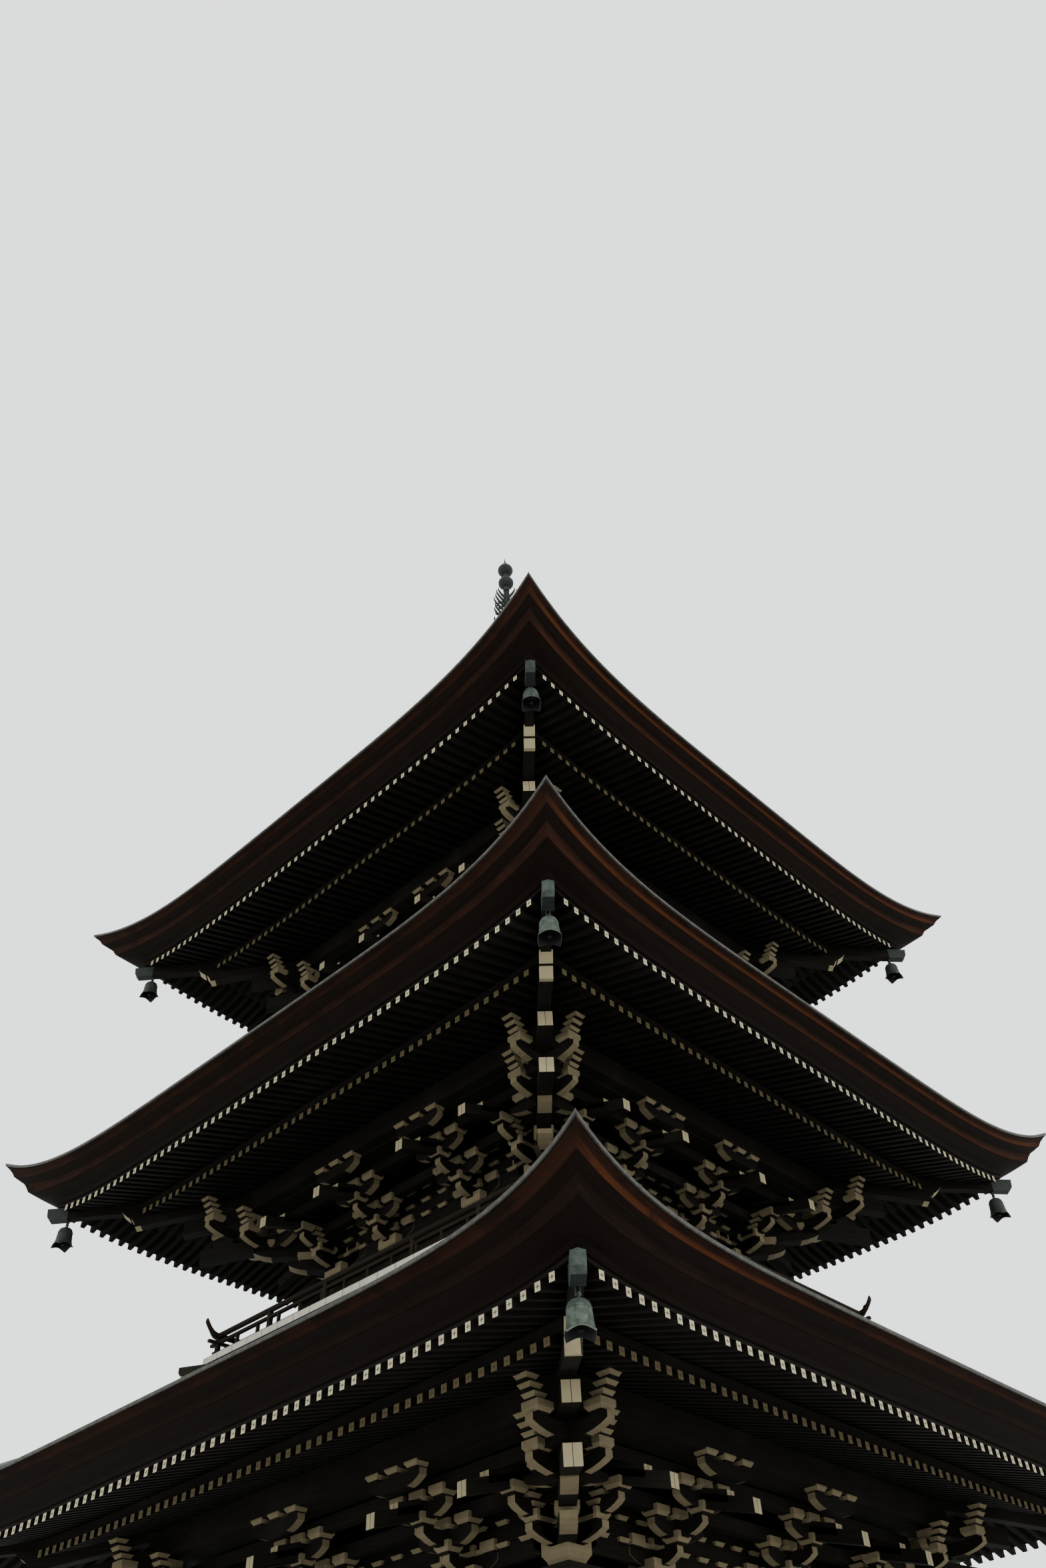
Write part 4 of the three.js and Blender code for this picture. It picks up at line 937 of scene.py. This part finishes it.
for s, upper in zip(STOREYS, STOREYS[1:]):
    s["roof_top"], s["roof_half"] = upper["floor"] - 0.32, upper["wall"] + 0.64
    s["roof_start"], s["roof_rows"] = 0.8, 13
s = STOREYS[-1]
s["roof_top"], s["roof_half"] = ROOF_PEAK, 0.3
s["roof_start"], s["roof_rows"] = 0.62, 22


def roof_surface(s, v, u):
    """Distance and height of the roof's top at a share v of the way up and a place u along the eave: the
    distance closes evenly in v, and the height is a flat start blended with the square of v."""
    start = s["roof_start"]
    eave = s["flying_reach"] + 0.39 + s["sweep"] * np.abs(u) ** 5
    foot = s["flying"] + 0.403
    risen = lift(s, u * eave) + GROWTH * np.abs(u) ** 6
    high = foot + (s["roof_top"] - foot) * (start * v + (1 - start) * v * v) + risen * (1 - v) ** 4.5
    return eave + (s["roof_half"] - eave) * v, high


def roof_shell(s):
    """The outline of the roof slab for each u: out along the underside, then up the courses, each of
    which stands 6 mm proud of the one below it."""
    up = gapped(np.linspace(0, 1, s["roof_rows"] + 1), 0).ravel()
    lap = np.tile([0.006, 0.0], s["roof_rows"])

    def along(u):
        top_out, top_high = roof_surface(s, up, u)
        low_out, low_high = roof_surface(s, np.array([1, 0.7, 0.45, 0.2]), u)
        eave_out, eave_high = roof_surface(s, 0, u)
        rim = 0 * u + s["roof_half"] - 0.06
        out = np.concatenate([rim, rim, low_out[:, 1:], eave_out, top_out], 1)
        high = [low_high[:, :1], low_high - 0.07, eave_high - 0.017, top_high + lap]
        return out, np.concatenate(high, 1)

    return band(along, 26)


def swept(path, section, a, b):
    """A section carried along a path: a vertex is the path's point plus the section's two numbers times
    the axes a and b, with the section closed and both ends capped. UV runs along the path."""
    path, section = np.asarray(path, float), np.asarray(section, float)
    rows, size = len(path), len(section)
    points = path[:, None] + section[None, :, :1] * np.array(a) + section[None, :, 1:] * np.array(b)
    low = np.arange(rows * size).reshape(rows, size)
    up = np.roll(low, -1, 1)
    quads = np.stack([low[:-1], up[:-1], up[1:], low[1:]], -1).reshape(-1, 4)
    run = np.concatenate([[0], np.cumsum(np.linalg.norm(np.diff(path, axis=0), axis=1))])
    after = np.roll(section, -1, 0)
    girth = np.append(0, np.cumsum(np.linalg.norm(after - section, axis=1)))
    uv = np.zeros((rows - 1, size, 4, 2))
    uv[:, :, :2, 0], uv[:, :, 2:, 0] = run[:-1, None, None], run[1:, None, None]
    uv[:, :, [0, 3], 1], uv[:, :, [1, 2], 1] = girth[None, :-1, None], girth[None, 1:, None]
    uv = uv.reshape(-1, 4, 2)
    caps, cap_uv = np.stack([low[0, ::-1], low[-1]]), np.stack([section[::-1], section])
    area = np.sum(section[:, 0] * after[:, 1] - section[:, 1] * after[:, 0])
    if area * np.dot(np.cross(a, b), path[-1] - path[0]) < 0:
        quads, caps, uv, cap_uv = quads[:, ::-1], caps[:, ::-1], uv[:, ::-1], cap_uv[:, ::-1]
    return points.reshape(-1, 3), [(quads, uv), (caps, cap_uv)], np.full(low.size, dice.random())


flank = [(0.09, 0.03), (0.062, 0.045), (0.058, 0.095), (0.03, 0.122)]
hip_roll = [(-0.095, -0.03), (0.095, -0.03), *flank, (0, 0.128), *mirrored(flank)]
drip_strip = [(0.372, 0.380, 1, 0.9), (0.391, 0.379, 1, 0.9), (0.394, 0.404, 1, 1), (0.372, 0.404, 1, 1)]
for s in STOREYS:
    v = np.linspace(0.2, 1, 16)
    d, high = roof_surface(s, v, 1.0)
    high += np.interp(v, [0.2, 0.26, 0.34], [-0.13, -0.05, 0])
    high[-1] = s["roof_top"] - 0.1
    line = np.stack([0 * v, -d * SQ, high], 1)
    ridges = around(swept(line, hip_roll, ALONG, UP), corner=True)
    strip = eave_band(s, drip_strip)
    roof = [roof_shell(s), (strip, 1), *ridges]
    name = s["name"]
    piece(f"{name}_copper_roof", roof, [sheeting, strip_metal], [f"{name}_roof"])

# Twelve wind bells, cast in bronze and gone pale green. Each hangs by its eye from the pin under a
# corner: a stem, a body that flares to a lip cut in four lobes, and inside it a clapper on a rod.
RIM_RUN = 0.297  # from the crown to the lip along the outline
bronze = Finish("verdigris_bronze", metallic=0.35, specular=0.4)
bloom = bronze.noise(bronze.place(), 18, 6.0, 0.65)
drops = bronze.streaks(40.0, 5.0)
green = bronze.blend(bronze.ramp(bloom, 0.34, 0.66), (0.030, 0.042, 0.032), (0.085, 0.108, 0.085))
green = bronze.blend(bronze.ramp(drops, 0.56, 0.74) * 0.7, green, (0.016, 0.020, 0.015))
v = bronze.uv()[1]
rim = bronze.ramp(v, RIM_RUN - 0.018, RIM_RUN - 0.010)
green = bronze.blend(rim * 0.55, green, (0.15, 0.165, 0.13))
# Painted shade: the bell's inside, past the lip, is nearly black, and so are the clapper's rod and drop.
green = bronze.blend(bronze.ramp(v, RIM_RUN, RIM_RUN + 0.004), green, (0.0035, 0.004, 0.0034))
# Painted shade: the bells away from the near corner are darkened.
green = bronze.blend((1 - near_corner_lit(bronze, 0.6)) * 0.75, green, (0.007, 0.008, 0.006))
bell_finish = bronze.done(green, 0.6 + bloom * 0.2, bloom + drops * 0.6, 0.0012)


def moved(part, offset):
    points, faces, tone = part
    return points + offset, faces, tone


def lobed(part, low, high):
    """A turned bell cut into four petals: with t the share of the height below the shoulder, the radius
    shrinks by 0.22 t^2 |sin 2a| and the lip rises by 0.036 t^2 |sin 2a|, so it is pointed at each petal."""
    points, faces, tone = part
    angle = np.arctan2(points[:, 1], points[:, 0])
    t = np.clip((high - points[:, 2]) / (high - low), 0, 1)
    wave = t**2 * np.abs(np.sin(2 * angle))
    drawn = points * (1 - np.array([1, 1, 0]) * 0.22 * wave[:, None])
    return drawn + np.array([0, 0, 0.036]) * wave[:, None], faces, tone


outside = [(0.010, -0.032), (0.034, -0.0345), (0.057, -0.042), (0.073, -0.056), (0.083, -0.078)]
outside += [(0.087, -0.11), (0.091, -0.15), (0.097, -0.19), (0.106, -0.222), (0.116, -0.248)]
outside += [(0.126, -0.260), (0.131, -0.265), (0.134, -0.271)]
inside = [(0.131, -0.275), (0.124, -0.272), (0.111, -0.250), (0.100, -0.222), (0.091, -0.19)]
inside += [(0.085, -0.15), (0.080, -0.10), (0.066, -0.072), (0.052, -0.06), (0.001, -0.057)]
body = lobed(lathe(outside + inside, sides=48), -0.272, -0.13)


def torus(radius, thick, steps=24, sides=10):
    """A ring in the Y-Z plane: a vertex is (thick sin b, (radius + thick cos b) cos a, the same sin a)."""
    i, k = np.meshgrid(np.arange(steps), np.arange(sides), indexing="ij")
    a, b = i * 2 * math.pi / steps, k * 2 * math.pi / sides
    reach = radius + thick * np.cos(b)
    points = np.stack([thick * np.sin(b), reach * np.cos(a), reach * np.sin(a)], -1).reshape(-1, 3)
    here = i * sides + k
    beside, after = np.roll(here, -1, 1), np.roll(here, -1, 0)
    faces = np.stack([here, beside, np.roll(beside, -1, 0), after], -1).reshape(-1, 4)
    return points, [(faces, np.zeros((len(faces), 4, 2)))], np.zeros(len(points))


stem = [(0.009, -0.034), (0.009, -0.029), (0.0065, -0.025), (0.0055, -0.0195)]
belt = [(0.0835, -0.090), (0.0875, -0.092), (0.088, -0.098), (0.0845, -0.100)]
rod = [(0.003, -0.225), (0.003, -0.055)]
drop = [(0.002, -0.250), (0.014, -0.246), (0.02, -0.237), (0.02, -0.231), (0.014, -0.222), (0.003, -0.218)]
fittings = [
    torus(0.0155, 0.0055),
    lathe(stem, sides=16),
    lathe(belt, sides=48),
    # The rod and the drop are marked as painted, so they take the painted shade of the bell's inside.
    lathe(rod, sides=8, painted=(0,)),
    lathe(drop, sides=16, painted=range(5)),
]
tongue = bars((-0.006, 0.006), (-0.0012, 0.0012), (-0.385, -0.240))
for s in STOREYS:
    for side in range(4):
        cast = [turned(part, 0 if side else 0.5) for part in (body, *fittings)]
        if s is STOREYS[0] and side == 0:
            cast.append(tongue)
        parts = [turned(moved(part, s["pin"]), side + 0.5) for part in cast]
        name = f'{s["name"]}_bell_{side + 1}'
        piece(f"{name}_cast", parts, [bell_finish], [name], name, smooth=True)

# Balconies of the upper storeys: floor boards that run out to a white painted edge, an edge beam and
# crossed corner beams under them, on two rings of framing that stand on the roof below.
white = {"paint": (0.46, 0.43, 0.35), "wear": 0.6}
edge_white = timber("balcony_timber", (0.013, 0.0115, 0.0086), (0.0306, 0.0259, 0.0187), **white)
for below, s in zip(STOREYS, STOREYS[1:]):
    W, top = s["wall"], s["floor"]
    edge, under = W + 1.04, top - 0.07
    xs = np.linspace(-edge, edge, 2 * round(edge / 0.26) + 1)
    middle = (xs[:-1] + xs[1:]) / 2
    width = xs[1] - xs[0] - 0.006
    level = under + 0.035
    start = spots(middle, np.maximum(W - 0.1, np.abs(middle) - width / 2), level)
    section = SQUARE * (width / 2, 0.035)
    decking = around(prism(section, start, spots(middle, edge, level), ALONG, UP, ends=(False, True)))
    inner_edge, rest = below["roof_half"], under - 0.0005
    framing = [
        bars((-edge + 0.02, edge - 0.02), (-edge + 0.02, edge - 0.02), (under + 0.004, top - 0.004)),
        ring(edge - 0.13, edge - 0.03, under - 0.07, rest),
        ring(inner_edge - 0.06, inner_edge, below["roof_top"], rest),
        ring(W - 0.08, W + 0.08, base_line(below, W) + BOARDS[1], rest),
    ]
    beam = [(W, under - 0.13), (edge + 0.13, under - 0.13), (edge + 0.155, under - 0.115)]
    beam += [(edge + 0.17, under - 0.09), (edge + 0.17, under - 0.03), (edge - 0.02, under - 0.003)]
    beam.append((W, under - 0.003))
    framing += around(upright(beam, HIP, (1, 2, 3)), corner=True)
    name = s["name"]
    piece(f"{name}_boarded_balcony", decking + framing, [edge_white], [f"{name}_balcony"])

# Railings: a low rail on the floor, a flat middle rail and a round top rail whose ends cross at the
# corners and turn up, on posts at the corners and the column lines.
rail_timber = timber("railing_timber", (0.0100, 0.0075, 0.0050), (0.0270, 0.0180, 0.0110))
for s in STOREYS[1:]:
    at, floor = s["wall"] + 0.94, s["floor"]
    top = floor + 0.27
    tip = np.linspace(at + 0.02, at + 0.18, 9)
    x = np.concatenate([-tip[::-1], np.linspace(-at + 0.1, at - 0.1, 7), tip])
    bend = np.clip((np.abs(x) - at - 0.02) / 0.16, 0, None)
    path = spots(x, at, top - 0.027 + 0.125 * bend**2)
    rails = around(swept(path, circle(0.031), (0, 1, 0), UP))
    low = bars((-at - 0.05, at + 0.05), (-at - 0.025, -at + 0.025), (floor, floor + 0.06))
    flat = bars((-at - 0.13, at + 0.13), (-at - 0.02, -at + 0.02), (floor + 0.15, floor + 0.18))
    places = np.array([-at, -s["inner"], s["inner"], -s["wall"], s["wall"]])
    posts = bars(about(places, 0.024), (-at - 0.024, -at + 0.024), (floor + 0.06, top - 0.045))
    between = np.linspace(-at, at, 15)[1:-1]
    studs = bars(about(between, 0.016), (-at - 0.016, -at + 0.016), (floor + 0.06, floor + 0.15))
    rails += around(low, flat, posts, studs)
    name = s["name"]
    piece(f"{name}_rails", rails, [rail_timber], [f"{name}_railing"])

# Finial of cast bronze, gone dark, on the peak of the top roof. Its foot is a square dew basin with
# raised panels between two rims.
BASIN = 15.42
aged = Finish("aged_bronze", metallic=0.35, specular=0.3)
mottle = aged.noise(aged.place(), 16, 6.0, 0.65)
shade = aged.blend(aged.ramp(mottle, 0.34, 0.66), (0.007, 0.008, 0.0065), (0.021, 0.024, 0.020))
aged = aged.done(shade, 0.6 + mottle * 0.2, mottle, 0.0012)
square = []
for half, low, high in ((0.33, -0.42, 0), (0.36, -0.42, -0.36), (0.39, -0.11, 0), (0.365, -0.15, -0.109)):
    square.append(bars((-half, half), (-half, half), (BASIN + low, BASIN + high)))
panels = [(-0.29, -0.105), (-0.095, 0.095), (0.105, 0.29)]
square += around(bars(panels, (-0.342, -0.32), (15.09, 15.24)))
piece("finial_square_basin", square, [aged], ["dew_basin"])

# The inverted bowl on the basin and the open lotus above it, cast in the same bronze: a dome, a flared
# lip and two rows of eight petals.
angle = np.linspace(0, math.pi / 2, 10)
dome = np.stack([0.11 + 0.19 * np.cos(angle), BASIN + 0.03 + 0.24 * np.sin(angle)], 1)
lip = [(0.12, 15.70), (0.15, 15.735), (0.2, 15.77), (0.24, 15.80), (0.25, 15.868), (0.0005, 15.868)]
bowl = [lathe([(0.3, BASIN), *dome, *lip], sides=48)]


def petals(count, foot, tip, low, high, wide, phase=0.0):
    """Lotus petals that lean outwards: with t up the petal and w across it, the radius runs from foot to
    tip as t^1.3 with a bulge of 0.02 (1 - w^2) sin(pi t), and the half width is wide sin(pi (0.9 t +
    0.07))^0.7."""
    t, w = np.meshgrid(np.linspace(0.02, 1, 9), np.linspace(-1, 1, 7), indexing="ij")
    reach = foot + (tip - foot) * t**1.3 + 0.02 * (1 - w**2) * np.sin(math.pi * t)
    half = wide * np.sin(math.pi * np.clip(t * 0.9 + 0.07, 0, 1)) ** 0.7
    outer = np.stack([w * half, -reach, low + (high - low) * t], -1).reshape(-1, 3)
    points = np.concatenate([outer, outer + [0, 0.012, 0]])
    grid = np.arange(t.size).reshape(t.shape)
    quad = np.stack([grid[:-1, :-1], grid[:-1, 1:], grid[1:, 1:], grid[1:, :-1]], -1).reshape(-1, 4)
    rim = np.concatenate([grid[0], grid[1:, -1], grid[-1, -2::-1], grid[-2:0:-1, 0]])
    wall = np.stack([rim, rim + t.size, np.roll(rim, -1) + t.size, np.roll(rim, -1)], -1)
    faces = np.concatenate([quad, quad[:, ::-1] + t.size, wall])
    groups = [(faces, np.zeros((len(faces), 4, 2)))]
    tones = np.repeat(dice.random(count)[:, None], len(points), 1)
    return [turned((points, groups, tone), phase + n * 4 / count) for n, tone in enumerate(tones)]


bowl += petals(8, 0.13, 0.31, 15.70, 15.865, 0.105)
bowl += petals(8, 0.12, 0.27, 15.72, 15.867, 0.10, 0.25)
piece("finial_lotus_bowl", bowl, [aged], ["finial_bowl_and_lotus"], smooth=True)

# The shaft, a long bronze tube, and on it nine rings that narrow upwards. Each ring is a flat hoop on
# eight spokes round a hub.
shaft = [lathe([(0.0515, 15.868), (0.0505, 16.0), (0.0412, 21.774)], sides=24)]
HOOP_SIDES = 48
for n in range(9):
    radius, z = 0.4 - 0.11 * n / 8, 16.26 + 0.42 * n
    hoop = [(-0.022, -0.04), (-0.018, -0.045), (-0.004, -0.045), (0, -0.036)]
    hoop += [(inwards, -high) for inwards, high in hoop[::-1]]
    points, faces, tone = lathe(np.array(hoop) + [radius, 0], (0, 0, z), HOOP_SIDES)
    quads, uv = faces[0]
    first = np.arange(HOOP_SIDES)
    after = np.roll(first, -1)
    last = (len(hoop) - 1) * HOOP_SIDES
    closed = np.concatenate([quads, np.stack([first + last, after + last, after, first], -1)])
    shaft.append((points, [(closed, np.concatenate([uv, uv[:HOOP_SIDES]]))], tone))
    hub = [(0.066, -0.05), (0.072, -0.035), (0.072, 0.035), (0.066, 0.05)]
    shaft.append(lathe(hub, (0, 0, z), 24))
    for spoke in range(8):
        reach = bars((0.05, radius - 0.01), (-0.012, 0.012), (z - 0.018, z + 0.018))
        shaft.append(turned(reach, spoke / 2))
piece("finial_nine_rings", shaft, [aged], ["finial_rings"], smooth=True)

# The water flame: four openwork plates round the shaft, each a stem with six curling tongues that
# narrow to their tips, clasped to the shaft at foot and head.
tongues = []
reaches, rises = (0.33, 0.31, 0.33, 0.29, 0.26, 0.21), (0.17, 0.20, 0.20, 0.20, 0.19, 0.16)
for low, reach, rise in zip((20.10, 20.24, 20.40, 20.56, 20.72, 20.86), reaches, rises):
    t = np.linspace(0, 1, 10)
    out = 0.045 + (reach - 0.045) * np.sin(t * math.pi * 0.62) / math.sin(math.pi * 0.62)
    high = low + rise * t**1.7
    wide = 0.034 * (1 - t) ** 0.8 + 0.008
    outline = np.stack([np.append(out[::-1], out), np.append((high - wide)[::-1], high + wide)], 1)
    tongues += around(plate(outline, 0.024))
stem = [(0.044, 20.085), (0.075, 20.09), (0.095, 20.3), (0.075, 20.62), (0.085, 20.9), (0.05, 21.15)]
stem.append((0.043, 21.155))
tongues += around(plate(stem, 0.010))
clasp = [(0.05, 0.0), (0.062, 0.004), (0.062, 0.056), (0.05, 0.06)]
tongues += [lathe(clasp, (0, 0, z), 24) for z in (20.08, 21.10)]
piece("finial_flame_tongues", tongues, [aged], ["water_flame"])

# The dragon ball above the flame: a slightly flattened ball of the same bronze, cast hollow and
# threaded on the shaft.


def ball(z, last):
    """The outline of a ball 0.30 m wide at height z, open at its lower pole, up to the angle last."""
    angle = np.linspace(-math.pi / 2 + OPEN_POLE, last, 14)
    return np.stack([0.150 * np.cos(angle), z + 0.133 * np.sin(angle)], 1)


OPEN_POLE = 0.3  # angle left out at a pole
sphere = lathe(ball(21.375, math.pi / 2 - OPEN_POLE), sides=40)
piece("finial_dragon_ball", [sphere], [aged], ["finial_lower_ball"], smooth=True)

# The jewel on the shaft's end: a second hollow ball of the same bronze, drawn out to a spike and
# fixed on the shaft.
spike = [(0.07, 21.975), (0.042, 22.01), (0.025, 22.06), (0.014, 22.12), (0.007, 22.19), (0.002, 22.245)]
jewel = lathe([*ball(21.800, math.pi / 4), *spike], sides=40)
piece("finial_flaming_jewel", [jewel], [aged], ["finial_jewel"], smooth=True)

# The stage: a pale plain floor, an overcast pale sky and two soft lamps, seen from the place of the
# photograph, low down beside the near corner.
floor_finish = Finish("pale_floor", specular=0.1)
soft = floor_finish.noise(floor_finish.place(), 0.35, 3.0)
floor_finish = floor_finish.done(floor_finish.blend(soft, (0.50, 0.50, 0.485), (0.56, 0.56, 0.54)), 0.9)
mesh = bpy.data.meshes.new("studio_floor")
FLOOR_HALF = 90
corners = [(x * FLOOR_HALF, y * FLOOR_HALF, -0.002) for x, y in SQUARE.tolist()]
mesh.from_pydata(corners, [], [(0, 1, 2, 3)])
mesh.materials.append(floor_finish)
ground = bpy.data.objects.new("studio_floor", mesh)
bpy.context.scene.collection.objects.link(ground)
world = bpy.data.worlds.new("overcast")
bpy.context.scene.world = world
world.use_nodes = True
sky = world.node_tree.nodes["Background"].inputs
sky["Color"].default_value = (0.80, 0.83, 0.84, 1.0)
sky["Strength"].default_value = 2.6
for name, place, size, power in (
    ("key", (18.0, -6.0, 12.0), 14.0, 900.0),
    ("fill", (-10.0, -20.0, 9.0), 16.0, 250.0),
):
    lamp = bpy.data.lights.new(name, "AREA")
    lamp.energy, lamp.size = power, size
    made = bpy.data.objects.new(name, lamp)
    bpy.context.scene.collection.objects.link(made)
    made.location = place
    made.rotation_euler = (Vector((0, 0, 9)) - made.location).to_track_quat("-Z", "Y").to_euler()
FOCAL_PIXELS, PHOTO_HEIGHT, SENSOR = 1835.407, 2351, 36
EYE = (9.533, -10.357, 1.497)
camera = bpy.data.cameras.new("camera")
camera.lens = FOCAL_PIXELS / PHOTO_HEIGHT * SENSOR
camera.clip_end = 400
viewer = bpy.data.objects.new("camera", camera)
bpy.context.scene.collection.objects.link(viewer)
yaw, pitch, roll = (math.radians(value) for value in (42.141, 45.358, -3.131))
ahead = np.array([-math.sin(yaw) * math.cos(pitch), math.cos(yaw) * math.cos(pitch), math.sin(pitch)])
right = np.cross(ahead, [0, 0, 1])
right /= np.linalg.norm(right)
above = np.cross(right, ahead)
pose = np.eye(4)
pose[:3, 0] = math.cos(roll) * right + math.sin(roll) * above
pose[:3, 1] = math.cos(roll) * above - math.sin(roll) * right
pose[:3, 2] = -ahead
pose[:3, 3] = EYE
viewer.matrix_world = Matrix(pose.tolist())
bpy.context.scene.camera = viewer
